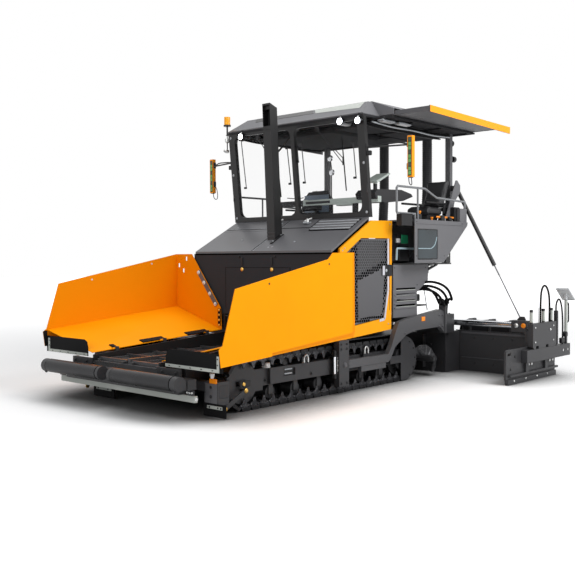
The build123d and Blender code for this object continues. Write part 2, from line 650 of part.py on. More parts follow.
def hinge_room(z):
    return rod_z(BODY_HALF + DOOR_AXIS_OUT, DOOR_AXIS_STATION, HINGE_R + 2, z - 1, z + HINGE_KNUCKLE)


def door_points(margin):
    """Outline of a side door's opening, drawn in by a margin."""
    m = margin
    front, rear = DOOR_AXIS_STATION, DOOR_REAR
    return [(front + m, 1740 - m), (3010 + m * 0.4, 1930 - m), (rear - m, 1935 - m), (rear - m, 1250),
            (rear - 85 - m, 880 + m), (front + m, 800 + m)]


def door_mesh():
    """The long six-sided holes of the door's expanded mesh: staggered rows above the plain panel."""
    holes = []
    (s0, z0), (s1, z1) = door_points(8)[:2]
    rows = steps(1585, 1870, MESH_ROW)
    for i, z in enumerate(rows):
        for s in steps(2965 + (i % 2) * MESH_PITCH / 2, 3440 + (i % 2) * MESH_PITCH / 2, MESH_PITCH):
            a, b, c = MESH_LONG / 2, MESH_LONG / 4, MESH_HIGH / 2
            if z + c + 20 > z0 + (z1 - z0) * (s - a - s0) / (s1 - s0):
                continue
            holes.append(side_plate([(s - a, z), (s - b, z + c), (s + b, z + c), (s + a, z), (s + b, z - c),
                                     (s - b, z - c)], BODY_HALF - 40, BODY_HALF))
    return holes


def side_door():
    """Door plate with its mesh, the plain panel below it, its hinge leaves and its latch."""
    face = BODY_HALF - 4
    door = side_plate(door_points(8), face - 24, face)
    for hole in door_mesh():
        door = door - hole
    panel = side_plate([(2930, 1380), (3520, 1540), (3460, 940), (2950, 920)], face, face + 3)
    latch = block(face, face + 18, 3452, 3560, 1445, 1575)
    door = door + panel + latch
    for z in DOOR_HINGES:
        door = door + hinge_leaf(z + HINGE_KNUCKLE, 1) - hinge_room(z)
    return door


def side_panel():
    """Panel behind the door with four pressed louvres and a slanted rear edge."""
    top = PLATFORM_Z - PLATFORM_T - SEAT_GAP
    panel = side_plate([(3712, 870), (4285, 870), (4280, 1200), (4560, 1360), (4560, top), (3712, top)],
                       BODY_HALF - 30, BODY_HALF)
    for i in range(4):
        z = 985 + i * 60
        panel = panel + hull_of(([(BODY_HALF - 1, 3740, z), (BODY_HALF - 1, 4230, z),
                                  (BODY_HALF - 1, 4230, z + 26),
                                  (BODY_HALF - 1, 3740, z + 26)],
                                 [(BODY_HALF + 9, 3740, z), (BODY_HALF + 9, 4230, z),
                                  (BODY_HALF + 9, 4230, z + 5),
                                  (BODY_HALF + 9, 3740, z + 5)]))
    return panel


# ---------------------------------------------------------------- operator's place
def platform():
    """Floor of the operator's place, its wider rear part and the riser behind the hood."""
    half = BODY_HALF - 35
    front, rear, low = HOOD_REAR_STATION + 1, 5180, PLATFORM_Z - PLATFORM_T
    deck = block(-half, half, front, rear, low, PLATFORM_Z)
    wide = block(-BODY_HALF, BODY_HALF, 3712, rear, low, PLATFORM_Z)
    riser = block(-half, half, front, front + 15, PLATFORM_Z, HOOD_REAR_Z)
    return join(deck, wide, riser)


def side_console():
    """Box beside the floor that carries a seat: outer plate with a window, top, inner wall."""
    out, skin = CONSOLE_OUT, CONSOLE_SKIN
    front, rear, top = CONSOLE_FRONT, CONSOLE_REAR, CONSOLE_TOP
    outer = side_plate([(front - 5, top + 5), (rear + 6, top - 5), (rear, top - 50), (4607, 1608),
                        (front, 1602)],
                       out - skin, out)
    window = side_plate([(3965, 2060), (4440, 2060), (4440, 1860), (4300, 1650), (3965, 1650)],
                        out - skin - 1, out + 1)
    lid = block(CONSOLE_IN, out - skin, front, rear, top - 20, top)
    inner = block(CONSOLE_IN, CONSOLE_IN + 15, front, rear - 80, PLATFORM_Z + SEAT_GAP, top - 20)
    slope = hull_of((
        [(CONSOLE_IN + 15, 4607, 1610), (out - skin, 4607, 1610), (out - skin, 4607, 1622),
         (CONSOLE_IN + 15, 4607, 1622)],
        [(CONSOLE_IN + 15, 5240, 2140), (out - skin, 5240, 2140), (out - skin, 5240, 2170),
         (CONSOLE_IN + 15, 5240, 2170)]))
    box = block(out - skin - 95, out - skin, rear - 185, rear, top, top + 190)
    return join(outer - window, lid, inner, slope, box)


def seat():
    """Pedestal, cushion, shaped back and two armrests."""
    x0, x1, z = SEAT_X - SEAT_HALF, SEAT_X + SEAT_HALF, CONSOLE_TOP
    front, rear, low = SEAT_FRONT, SEAT_BACK, CONSOLE_TOP + 100 + SEAT_GAP
    base = block(x0 + 50, x1 - 50, front + 80, rear - 40, z + SEAT_GAP, z + 100)
    cushion = side_plate([(front, z + 130), (front + 25, low), (rear, low), (rear, z + 185),
                          (front + 60, z + 205), (front + 8, z + 180)], x0, x1)
    back = side_plate([(rear - 60, z + 200), (rear + SEAT_GAP, z + 160), (rear + 20, z + 170),
                       (rear + 190, z + 610), (rear + 165, z + 630), (rear + 105, z + 625)], x0 + 5, x1 - 5)
    back = back - block(x0, x1, front, rear + SEAT_GAP, z, z + 205 + SEAT_GAP)
    arms = [block(x, x + 48, front - 30, rear + 40, z + 240, z + 272) for x in (x0 - 36, x1 - 50)]
    tie = block(x0 - 36, x0 + 12, rear - 10, rear + 40, z + 210, z + 272)
    return [base, cushion, join(back, tie, *arms)]


def control_console():
    """Rail across the operator's place and the desk that slides along it, here at the left end."""
    s0, s1, z0, z1 = DESK_BEAM
    beam = block(-830, DESK_OUT, s0, s1, z0, z1)
    legs = [block(x - 30, x + 30, s0 + 10, s1 - 10, PLATFORM_Z + SEAT_GAP, z0) for x in (-780, 640)]
    desk = side_plate([(3575, 2545), (3640, 2600), (4197, 2621), (4440, 2575), (4476, 2539), (4234, 2467),
                       (3800, 2425),
                       (3600, 2480)], DESK_IN, DESK_OUT)
    shield = side_plate([(3661, 2715), (3967, 2844), (3992, 2828), (3690, 2690)], DESK_IN + 70,
                        DESK_OUT - 40)
    post = block(DESK_IN + 150, DESK_IN + 190, 3780, 3820, 2590, 2770)
    far = front_plate([(-770, 2330), (-190, 2330), (-190, 2560), (-300, 2680), (-660, 2680), (-770, 2560)],
                      4200, 4216)
    stem = block(-500, -460, 4150, 4200, PLATFORM_Z + SEAT_GAP, 2500)
    return beam.fuse(*legs, desk, shield, post), join(far, stem)


def handrail():
    """Hoop in front of the seat, the rail that falls beside it and its two lower posts."""
    x, foot = RAIL_X, CONSOLE_TOP + SEAT_GAP
    rail = mitred_tube([(x, 3930, foot), (x, 3930, 2262), (x, 3520, 2262), (x, 3508, 2285), (x, 3508, 2585),
                        (x, 3535, 2612), (x, 4170, 2612), (x, 4460, 2503), (x, 5218, 2480), (x, 5218, 2381)],
                       RAIL_R)
    middle = rod_z(x, 4000, RAIL_R - 2, foot, 2610)
    box = block(x - 60, x + 22, 3590, 3840, 2100, 2250)
    return join(rail, middle, box)


# ---------------------------------------------------------------- screen
def screen_plane():
    """Plane of the leaning screen: X across, Y up along it, Z forwards, origin on the hood's rear edge."""
    lean = atan2(HOOD_REAR_STATION - SCREEN_TOP_STATION, SCREEN_TOP_Z - HOOD_REAR_Z)
    return Plane(origin=(0, at(HOOD_REAR_STATION), HOOD_REAR_Z), x_dir=(1, 0, 0),
                 z_dir=(0, -cos(lean), -sin(lean)))


def screen_station(z):
    """Station of the screen's face at a height."""
    share = (z - HOOD_REAR_Z) / (SCREEN_TOP_Z - HOOD_REAR_Z)
    return HOOD_REAR_STATION + share * (SCREEN_TOP_STATION - HOOD_REAR_STATION)


def screen_room():
    """What lies between the hood's rear edge and the ceiling."""
    return block(-SCREEN_HALF - 1, SCREEN_HALF + 1, SCREEN_TOP_STATION - 200, HOOD_REAR_STATION + 200,
                 HOOD_REAR_Z + 2 * SEAT_GAP, CEILING_Z - SEAT_GAP)


def pane_outline(gap):
    """One pane's sketch with round corners, drawn in by a gap, as its middle and its shape."""
    height = CEILING_Z - HOOD_REAR_Z - 36 - SILL_HEIGHT
    width = SCREEN_HALF - POST_WIDTH - MULLION_WIDTH / 2
    middle = (MULLION_WIDTH / 2 + width / 2, SILL_HEIGHT + height / 2)
    return Pos(*middle, 0) * RectangleRounded(width - 2 * gap, height - 2 * gap, PANE_CORNER - gap)


def windshield_frame():
    top = 1.01 * (CEILING_Z - HOOD_REAR_Z)
    sheet = Pos(0, top / 2, 0) * Rectangle(2 * SCREEN_HALF, top + 20)
    sheet = sheet - pane_outline(0) - mirror(pane_outline(0), about=Plane.YZ)
    return extrude(screen_plane() * sheet, -SCREEN_DEPTH) & screen_room()


def windshield_glass():
    pane = extrude(screen_plane().offset(-28) * pane_outline(SEAT_GAP), -8)
    return pair(pane)


# ---------------------------------------------------------------- canopy
def canopy_roof():
    """Ceiling, the spine between the awnings' pockets, the slanted nose and the chamfered shell."""
    shoulder, rear = ROOF_SHOULDER, ROOF_REAR
    front = block(-NOSE_HALF, NOSE_HALF, ROOF_FRONT + 10, shoulder, CEILING_Z, CEILING_Z + CEILING_T)
    wide = block(13 - ROOF_HALF, ROOF_HALF - 13, shoulder, rear - 20, CEILING_Z, CEILING_Z + CEILING_T)
    ceiling = join(front, wide)
    runners = [block(min(a, b), max(a, b), s, s + 40, CEILING_Z + CEILING_T - 1, RUNNER_TOP)
               for a, b in ((SPINE_HALF, ROOF_HALF - 40), (-SPINE_HALF, 40 - ROOF_HALF)) for s in (3560,
                                                                                                   5340)]
    spine = block(-SPINE_HALF, SPINE_HALF, shoulder, rear - 30, CEILING_Z + CEILING_T, ROOF_RIM_Z)
    sill = block(-NOSE_HALF, NOSE_HALF, ROOF_FRONT + 10, shoulder, CEILING_Z + CEILING_T, NOSE_Z)
    n, c, z0, z1 = NOSE_HALF, CROWN_HALF, NOSE_Z, ROOF_TOP_Z - 12
    nose = hull_of(([(-n, ROOF_FRONT, z0), (n, ROOF_FRONT, z0), (n, shoulder, z0), (-n, shoulder, z0)],
                    [(-c, CROWN_FRONT, z1), (c, CROWN_FRONT, z1), (c, shoulder, z1), (-c, shoulder, z1)]))
    rim = block(-ROOF_HALF, ROOF_HALF, shoulder, shoulder + 10, NOSE_Z, ROOF_RIM_Z)
    h, z2, z3 = ROOF_HALF, ROOF_RIM_Z, ROOF_TOP_Z
    shell = hull_of(([(-h, shoulder, z2), (h, shoulder, z2), (h, rear, z2), (-h, rear, z2)],
                     [(-c, shoulder, z3), (c, shoulder, z3), (c, rear - 110, z3), (-c, rear - 110, z3)]))
    return join(ceiling, spine, sill, nose, rim, shell, *runners)


def awning():
    """Sliding side roof: a panel with a lip at its outer edge and one across its front and rear."""
    z = RUNNER_TOP + 1
    inner, out = ROOF_HALF - 153, AWNING_OUT
    panel = block(inner, out, ROOF_SHOULDER + 22, ROOF_REAR - 40, z, z + AWNING_T)
    front, rear, low, high = ROOF_SHOULDER + 14, ROOF_REAR - 8, CEILING_Z, z + AWNING_T
    lip = hull_of((
        [(out - 16, front, low + 8), (out, front, low + 8), (out, front, low + 90),
         (out - 16, front, low + 90)],
        [(out - 16, rear, low - 47), (out, rear, low - 47), (out, rear, high), (out - 16, rear, high)]))
    ends = [block(inner, out - 10, s, s + 12, z - 4, top)
            for s, top in ((ROOF_SHOULDER + 20, z + 54), (ROOF_REAR - 52, high))]
    return join(panel, lip, *ends)


def rear_post():
    """Square post behind a seat, and the leaning wedge plate beside it that holds a stay's pin."""
    foot, top = CONSOLE_TOP + SEAT_GAP, CEILING_Z - SEAT_GAP
    post = block(1120, 1200, STAY_STATION - 85, STAY_STATION - 15, foot, top)
    x, z = STAY_TOP
    rear = STAY_STATION - STAY_R - 6
    wedge = side_plate([(4849, foot), (5017, foot), (5120, 2480), (rear, z - 60), (rear, z + 40),
                        (5190, 2800), (5160, 2795)],
                       1330, 1342)
    bridge = block(1199, 1342, STAY_STATION - 75, rear, z - 40, z + 40)
    pin = rod_y(x, z, STAY_PIN_R, rear - 10, STAY_STATION + 16)
    return join(post, wedge, bridge, pin)


def lamp(x, station, z, r):
    """Round work lamp that looks forward, with its bracket up to the ceiling."""
    shell = rod_y(x, z, r, station, station + 55)
    bracket = block(x - 12, x + 12, station + 20, station + 44, z + r - 6, CEILING_Z - SEAT_GAP)
    return join(shell, bracket)


def lamps():
    """Two lamps under the nose, a rear one on its post, and the beacon on the far front corner."""
    front = [lamp(x, 3150, CEILING_Z - 52, 42) for x in (-1075, 1075)]
    rear = join(rod_y(1160, 3132, 45, STAY_STATION + 40, STAY_STATION + 95),
                block(1150, 1170, STAY_STATION - 15 + SEAT_GAP, STAY_STATION + 45, 3120, 3144))
    z = NOSE_Z
    bracket = block(-1420, -NOSE_HALF - SEAT_GAP, 3190, 3215, z - 20, z - 2)
    stem = rod_z(-1405, 3202, 12, z - 10, z + 120)
    beacon = rod_z(-1405, 3202, 55, z + 120, z + 142) + rod_z(-1405, 3202, 46, z + 142, z + 260)
    return [*front, rear, join(bracket, stem, beacon)]


def signal_bars():
    """Light bar on an arm outside each front post."""
    z0, z1 = SIGNAL_Z
    x, s = SIGNAL_X, SIGNAL_STATION
    z = 3090
    bar = block(x - 36, x + 36, s - 28, s + 28, z0, z1)
    arm = strut((SCREEN_HALF + 6, screen_station(z) + 30, z), (x, s, z), 11)
    plate = block(SCREEN_HALF + SEAT_GAP, SCREEN_HALF + 8, screen_station(z) + 5, screen_station(z) + 55,
                  z - 50, z + 50)
    return join(bar, arm, plate)


def fume_duct(x):
    """Flexible duct from the cover over the augers up behind the platform to the ceiling."""
    low, top = HOOD_PLATE_Z + 20 + SEAT_GAP, CEILING_Z - SEAT_GAP
    return mitred_tube([(x, 4640, low), (x, 4640, 1085), (x, 4700, 1165), (x, 5302, 1480), (x, 5390, 2700),
                        (x, 5390, top)], DUCT_R)


# ---------------------------------------------------------------- screed
def tow_arm():
    """Front tongue, long beam, the gooseneck over the track's rear and its end plate."""
    def slab(front, x0, x1):
        return side_plate([(front, 310), (3480, 310), (3530, 345), (3640, 500), (3900, 640), (4100, 680),
                           (4740, 695), (SADDLE_FRONT, 600), (SADDLE_FRONT, 905), (4740, 940), (3910, 850),
                           (3720, 815), (3650, 700), (3560, 520), (3480, 412), (front, 412)], x0, x1)
    tongue = slab(PULL_STATION - 50, ARM_INNER + 18, ARM_OUTER - 10)
    tongue = tongue - rod_x(PULL_STATION, PULL_Z, PULL_PIN_R + SEAT_GAP, ARM_INNER, ARM_OUTER)
    end = block(ARM_INNER + 6, ARM_OUTER + 30, SADDLE_FRONT - 22, SADDLE_FRONT, 600, 990)
    foot = block(ARM_INNER + 12, ARM_OUTER - 6, 2900, 3430, 240, 310)
    return join(tongue, slab(PULL_STATION + 95, ARM_INNER + 6, ARM_OUTER), end, foot)


def tow_post():
    """Upright channel at the track's side in which the arm's front pin is held."""
    x0, x1 = ARM_INNER, ARM_OUTER + 8
    s, low, high = PULL_STATION, 100, FENDER_Z + 20
    web = block(x0, x1, s - 110, s - 80, low, high)
    cheeks = [block(x, x + 12, s - 80, s + 80, low, high) for x in (x0, x1 - 12)]
    pin = rod_x(s, PULL_Z, PULL_PIN_R, x0 + 6, x1 - 6)
    foot = block(BODY_HALF + SEAT_GAP, x0, s - 100, s + 70, FENDER_Z - 40, FENDER_Z + 15)
    return web.fuse(*cheeks, pin, foot)


def screed_main():
    """The fixed middle screed: sole, body, deflector wall in front and the arms' saddles."""
    sole = block(-MAIN_HALF, MAIN_HALF, MAIN_FRONT + 20, MAIN_REAR, 0, 40)
    body = block(-MAIN_HALF + 15, MAIN_HALF - 15, MAIN_FRONT + 16, MAIN_REAR - 10, 40, MAIN_TOP)
    wall = block(-MAIN_HALF, MAIN_HALF, MAIN_FRONT, MAIN_FRONT + 20, 0, MAIN_TOP + 60)
    ends = [block(x - 15, x, MAIN_FRONT, MAIN_REAR, 0, MAIN_TOP) for x in (MAIN_HALF, 15 - MAIN_HALF)]
    front = SADDLE_FRONT + SEAT_GAP
    saddles = [block(min(a, b), max(a, b), front, MAIN_FRONT + 90, MAIN_TOP, 860)
               for a, b in ((ARM_INNER - 150, ARM_OUTER), (150 - ARM_INNER, -ARM_OUTER))]
    ribs = [block(x - 8, x + 8, MAIN_FRONT - 70, MAIN_FRONT, 60, 540) for x in (-900, -300, 300, 900)]
    return sole.fuse(body, wall, *ends, *saddles, *ribs)


def guide_sleeve():
    """Bored tube on two feet that an extension's guide tube slides in."""
    sleeve = rod_x(GUIDE_STATION, GUIDE_Z, GUIDE_R + 12, 10, MAIN_HALF - 120)
    feet = [block(x, x + 60, GUIDE_STATION - 40, GUIDE_STATION + 40, MAIN_TOP + SEAT_GAP,
                  GUIDE_Z) for x in (120, MAIN_HALF - 270)]
    return sleeve.fuse(*feet) - rod_x(GUIDE_STATION, GUIDE_Z, GUIDE_R + SEAT_GAP, 0, MAIN_HALF)


def extension():
    """Extending screed: sole, body, deflector wall, the guide tube and its bracket with a fin."""
    sole = block(EXT_INNER, EXT_OUTER, EXT_FRONT + 16, EXT_REAR, 0, 40)
    body = block(EXT_INNER + 12, EXT_OUTER - 10, EXT_FRONT + 14, EXT_REAR - 12, 40, EXT_TOP - 40)
    wall = block(EXT_INNER, EXT_OUTER, EXT_FRONT, EXT_FRONT + 16, 0, EXT_TOP)
    x0, x1 = 2225, 2450
    s0, s1 = GUIDE_STATION - 60, GUIDE_STATION + 65
    bracket = front_plate([(x0, 640), (x1, 640), (x1, 800), (x0 + 25, 800), (x0, 775)], s0, s1)
    fin = front_plate([(x0 + 15, 780), (x1 - 70, 780), (x1 - 70, 800), (x1 - 95, 850), (x0 + 65, 850),
                       (x0 + 15, 800)],
                      STAY_STATION - 31, STAY_STATION - 17)
    shelf = block(x0 + 30, x1 - 70, s1 - 2, STAY_STATION - 31, 780, 800)
    tie = block(x1 - 20, EXT_OUTER, s0, EXT_FRONT, 500, 660)
    tube = rod_x(GUIDE_STATION, GUIDE_Z, GUIDE_R, EXT_INNER - 88, x0 + 1)
    return sole.fuse(body, wall, tie, bracket, fin, shelf, tube)


def gate_plate():
    """End plate with a round front corner, its shoe, and the channel outside it."""
    x0 = EXT_OUTER + SEAT_GAP
    x1, x2 = x0 + GATE_T, x0 + GATE_T + CHANNEL_OUT
    plate = side_plate([(GATE_FRONT, 70), (GATE_REAR, 70), (GATE_REAR, GATE_HIGH), (GATE_FRONT, GATE_HIGH)],
                       x0, x1)
    corner = plate.edges().filter_by(Axis.X).sort_by(Axis.Z)[-2:].sort_by(Axis.Y)[0]
    plate = fillet(corner, 60)
    slot = block(x0 - 1, x1 + 1, GATE_FRONT + 40, GATE_FRONT + 110, GATE_HIGH - 75, GATE_HIGH - 45)
    shoe = side_plate([(GATE_FRONT + 20, 18), (GATE_FRONT + 50, 0), (GATE_REAR - 10, 0),
                       (GATE_REAR - 10, 70),
                       (GATE_FRONT + 20, 70)], x0, x1 + 22)
    rail = block(x1 - 1, x1 + 34, GATE_FRONT + 60, GATE_REAR + 30, 104, 132)
    channel = block(x1, x2, CHANNEL_FRONT, CHANNEL_REAR, CHANNEL_LOW, CHANNEL_HIGH)
    room = block(x1 - 1, x2 - 10, CHANNEL_FRONT + 10, CHANNEL_REAR + 1, CHANNEL_LOW + 10, CHANNEL_HIGH - 10)
    web = block(x1, x2 - 10, GATE_REAR - 20, GATE_REAR, CHANNEL_LOW, CHANNEL_HIGH)
    frame = join(plate - slot, shoe, rail, channel - room, web)
    for s in (CHANNEL_REAR - 60, CHANNEL_REAR - 210):
        frame = frame - rod_x(s, (CHANNEL_LOW + CHANNEL_HIGH) / 2, 22, x2 - 11, x2 + 1)
    for s in (4980, 5560):
        frame = frame + block(x1, x1 + 30, s - 40, s + 40, 132, CHANNEL_LOW)
    return frame


def gate_controls():
    """Cabinet on the channel, the guide posts behind it, and the display on its stalk."""
    x0 = EXT_OUTER + SEAT_GAP + GATE_T + 10
    low = CHANNEL_HIGH + SEAT_GAP
    cabinet = side_plate([(5060, low), (5120, low), (5120, low + 40), (5200, low + 40), (5200, low),
                          (5420, low),
                          (5420, low + 40), (5500, low + 40), (5500, low), (5720, low), (5750,
                                                                                         low + 30), (5750,
                                                                                                     775),
                          (5030, 775), (5030, low + 30)], x0, x0 + 75)
    posts = [block(x0 + 10, x0 + 40, s - 20, s + 20, 774, 960) for s in (5075, 5440, 5690)]
    stalk = block(x0 + 30, x0 + 60, 6110, 6150, low, 1090)
    panel = hull_of(([(x0 - 60, 6020, 1215), (x0 + 130, 6020, 1215), (x0 + 130, 6030, 1235),
                      (x0 - 60, 6030, 1235)],
                     [(x0 - 60, 6240, 1050), (x0 + 130, 6240, 1050), (x0 + 130, 6255, 1068),
                      (x0 - 60, 6255, 1068)]))
    neck = block(x0 + 30, x0 + 60, 6100, 6160, 1070, 1150)
    return [join(cabinet, *posts), join(stalk, neck, panel)]


def flight_corners(turn):
    """Corners of the flight's section after a number of turns, in order round its rectangle."""
    x = AUGER_IN + 20 + turn * AUGER_PITCH
    inner, outer = AUGER_SHAFT_R - 8, AUGER_R
    return [(x + along, at(AUGER_STATION) + r * sin(2 * pi * turn), AUGER_Z + r * cos(2 * pi * turn))
            for along, r in ((0, inner), (FLIGHT_T, inner), (FLIGHT_T, outer), (0, outer))]


def triangle(a, b, c):
    return make_face(Polyline(a, b, c, close=True))


def flight():
    """One helical flight as a closed skin of flat triangles."""
    turns = (AUGER_OUT - AUGER_IN - 50) / AUGER_PITCH
    count = ceil(turns * FLIGHT_STEPS)
    rings = [flight_corners(i * turns / count) for i in range(count + 1)]
    faces = [make_face(Polyline(*ring, close=True)) for ring in (rings[0], rings[-1])]
    for ring, after in zip(rings, rings[1:]):
        for i in range(4):
            j = (i + 1) % 4
            faces += [triangle(ring[i], ring[j], after[i]), triangle(ring[j], after[j], after[i])]
    return Solid(Shell([face.face() for face in faces]))


def auger():
    """Half of the cross auger: a shaft and one helical flight."""
    shaft = rod_x(AUGER_STATION, AUGER_Z, AUGER_SHAFT_R, AUGER_IN, AUGER_OUT)
    stub = rod_x(AUGER_STATION, AUGER_Z, 25, SUPPORT_HALF + SEAT_GAP, AUGER_IN)
    return shaft.fuse(stub, flight())


def auger_support():
    """Drive case between the augers, its arm to the chassis, and the cover over the augers."""
    half, roof = SUPPORT_HALF, TUNNEL_ROOF
    case = block(-half, half, AUGER_STATION - 120, AUGER_STATION + 120, 90, roof + 60)
    spine = block(-half, half, BEAM_REAR + SEAT_GAP, AUGER_STATION - 120, roof - 60, roof + 60)
    bridge = block(-BEAM_INNER - 20, BEAM_INNER + 20, BEAM_REAR + SEAT_GAP, BEAM_REAR + 40, roof - 60,
                   roof + 60)
    cover = block(-1090, 1090, BEAM_REAR + 10, AUGER_STATION + 150, HOOD_PLATE_Z, HOOD_PLATE_Z + 20)
    feet = [block(x - 15, x + 15, BEAM_REAR + SEAT_GAP, BEAM_REAR + 40, roof + 60,
                  HOOD_PLATE_Z) for x in (-600, 600)]
    column = block(-half, half, AUGER_STATION - 120, AUGER_STATION + 120, roof + 60, HOOD_PLATE_Z)
    return join(case, spine, bridge, *feet, column, cover)


def footboard():
    """Chequered tread behind the screed on two arms and its low kick rail."""
    tread = block(-1150, 1150, EXT_REAR + 20, REAR_STATION, 330, 350)
    arm = block(-55, 55, MAIN_REAR - 10 + SEAT_GAP, EXT_REAR + 40, 290, 340)
    lip = block(-1150, 1150, REAR_STATION - SHEET, REAR_STATION, 300, 330)
    return join(tread, arm, lip)


# ---------------------------------------------------------------- stays
def stay_parts():
    """Gas strut between the rear post and an extension's bracket: tube with its eye, rod with its eye."""
    x0, z0 = STAY_TOP
    x1, z1 = STAY_FOOT

    def along(share):
        return x0 + share * (x1 - x0), STAY_STATION, z0 + share * (z1 - z0)

    eye = rod_y(x0, z0, 24, STAY_STATION - 12, STAY_STATION + 12)
    tube = strut(along(0.01), along(STAY_TUBE_SHARE), STAY_R)
    tube = join(tube, eye) - rod_y(x0, z0, STAY_PIN_R + SEAT_GAP, STAY_STATION - 60, STAY_STATION + 60)
    tube = tube - strut(along(0.1), along(1), STAY_ROD_R + SEAT_GAP)
    rod = strut(along(STAY_TUBE_SHARE - 0.12), along(1), STAY_ROD_R)
    foot_eye = rod_y(x1, z1, 20, STAY_STATION - 12, STAY_STATION + 12)
    return tube, join(rod, foot_eye)


def main():
    os.makedirs("parts", exist_ok=True)
    save_sides("track", track())
    save("track_frames", track_frame(True), mirrored(track_frame(False)))
    save("track_wheels", *pair(idler(), sprocket(), *rollers()))
    save("chassis_beams", chassis_beam(True), mirrored(chassis_beam(False)))
    save("body_plates", belly_plate(), tunnel_roof(), rear_wall())
    save("fenders", *pair(fender()))
    save("engine_block", engine_block())
    save("conveyor_floor", conveyor_floor())
    save("hopper_skirts", *pair(hopper_skirt()))
    save("conveyors", *pair(conveyor()))
    save("push_beam", push_beam())
    save("lower_bar", lower_bar())
    save_sides("push_roller", push_roller())
    # its ends, its rear face, its top: on the left weight, and under the right chassis beam
    save("mud_flaps", mud_flap(BODY_HALF - 150, BODY_HALF + 195, CORNER_FRONT - SEAT_GAP, 150),
         mud_flap(-BEAM_OUTER - 60, -485, CORNER_FRONT, BEAM_LOW - SEAT_GAP))
    save("wing_left", wing(True))
    save("wing_right", mirrored(wing(False)))
    save_sides("wing_flap", wing_flap())
    save("bulkhead", bulkhead())
    save("hood", hood())
    save("exhaust_stack", exhaust_stack())
    save("side_frames", *pair(side_frame()))
    save_sides("side_door", side_door())
    save("side_panels", *pair(side_panel()))
    save("platform", platform())
    save("side_consoles", *pair(side_console()))
    save("seats", *pair(*seat()))
    save("control_console", *control_console())
    save("windshield_frame", windshield_frame())
    save("windshield_glass", *windshield_glass())
    save("canopy_roof", canopy_roof())
    save("awning_left", awning())
    save("awning_right", Pos(AWNING_TRAVEL, 0, 0) * mirrored(awning()))
    save("rear_posts", *pair(rear_post()))
    save("lamps", *lamps())
    save("signal_bars", *pair(signal_bars()))
    save("fume_ducts", *[fume_duct(x) for x in DUCT_PLACES])
    save("handrails", *pair(handrail()))
    save("tow_posts", *pair(tow_post()))
    save("tow_arms", *pair(tow_arm()))
    save("screed_main", screed_main(), *pair(guide_sleeve()))
    save_sides("extension", extension())
    save_sides("end_gate", gate_plate(), *gate_controls())
    save_sides("auger", auger())
    save("auger_support", auger_support())
    save("footboard", footboard())
    tube, rod = stay_parts()
    save_sides("stay_tube", tube)
    save_sides("stay_rod", rod)


main()
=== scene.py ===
# %% [markdown]
# # A tracked asphalt paver, finished in Blender
# The steelwork arrives ready made: every beam, plate and roller is a named mesh in metres, standing where the
# machine stands. What is left for Blender is the look: paint, rubber, chrome and glass, and the small things
# that are bolted on. This first cell loads the machine and keeps its box, so that nothing added later makes
# it larger.

# %% Load the machine
from math import cos, pi, radians, sin

import bmesh
import bpy
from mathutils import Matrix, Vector


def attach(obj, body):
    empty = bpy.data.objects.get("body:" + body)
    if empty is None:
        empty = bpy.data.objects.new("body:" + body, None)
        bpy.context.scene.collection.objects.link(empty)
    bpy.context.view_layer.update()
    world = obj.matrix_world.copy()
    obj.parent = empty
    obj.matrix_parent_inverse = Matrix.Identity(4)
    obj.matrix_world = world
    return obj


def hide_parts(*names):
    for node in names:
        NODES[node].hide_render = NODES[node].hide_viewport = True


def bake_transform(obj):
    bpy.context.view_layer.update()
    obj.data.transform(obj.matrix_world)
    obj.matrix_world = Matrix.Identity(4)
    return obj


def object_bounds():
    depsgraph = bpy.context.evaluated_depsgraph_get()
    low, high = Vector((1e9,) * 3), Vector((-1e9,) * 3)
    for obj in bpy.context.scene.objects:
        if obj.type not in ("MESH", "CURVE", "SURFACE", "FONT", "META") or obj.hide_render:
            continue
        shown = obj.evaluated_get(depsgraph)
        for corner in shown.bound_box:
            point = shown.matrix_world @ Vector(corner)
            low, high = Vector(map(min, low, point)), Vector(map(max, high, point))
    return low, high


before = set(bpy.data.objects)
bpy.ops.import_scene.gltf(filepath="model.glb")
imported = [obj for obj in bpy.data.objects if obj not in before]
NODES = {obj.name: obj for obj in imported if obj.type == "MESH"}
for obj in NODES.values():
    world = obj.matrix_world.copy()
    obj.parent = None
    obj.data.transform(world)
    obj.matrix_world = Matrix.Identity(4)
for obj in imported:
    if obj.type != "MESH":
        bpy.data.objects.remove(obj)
cad_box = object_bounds()
print("machine:", len(NODES), "nodes, box", [round(v, 3) for v in cad_box[1] - cad_box[0]])

# %% [markdown]
# ## The camera
# The machine is seen from its front left corner, at the height of a standing person's eyes. A long lens from
# well away keeps the canopy and the tracks nearly parallel. A camera in Blender is a sensor and a lens, both in
# millimetres; its place is in metres and its turn in degrees.

# %% Camera
SENSOR = 36.0
LENS = 52.17
CAMERA_PLACE = (7.701, -8.574, 1.679)
CAMERA_TURN = (88.25, 0.24, 42.29)

camera_data = bpy.data.cameras.new("camera")
camera_data.sensor_width = SENSOR
camera_data.lens = LENS
camera = bpy.data.objects.new("camera", camera_data)
camera.location = CAMERA_PLACE
camera.rotation_euler = [radians(a) for a in CAMERA_TURN]
bpy.context.scene.collection.objects.link(camera)
bpy.context.scene.camera = camera
print("camera:", LENS, "mm lens,", round(camera.location.length, 1), "m away")

# %% [markdown]
# ## Writing shader maths as sums
# A material is a graph of nodes, and a graph is slow to read. A small wrapper lets a sum on values write its
# own Math nodes: `1 - mask * 0.3` adds two of them. Every other node comes from one method, which sets the
# node's settings first and its sockets after.

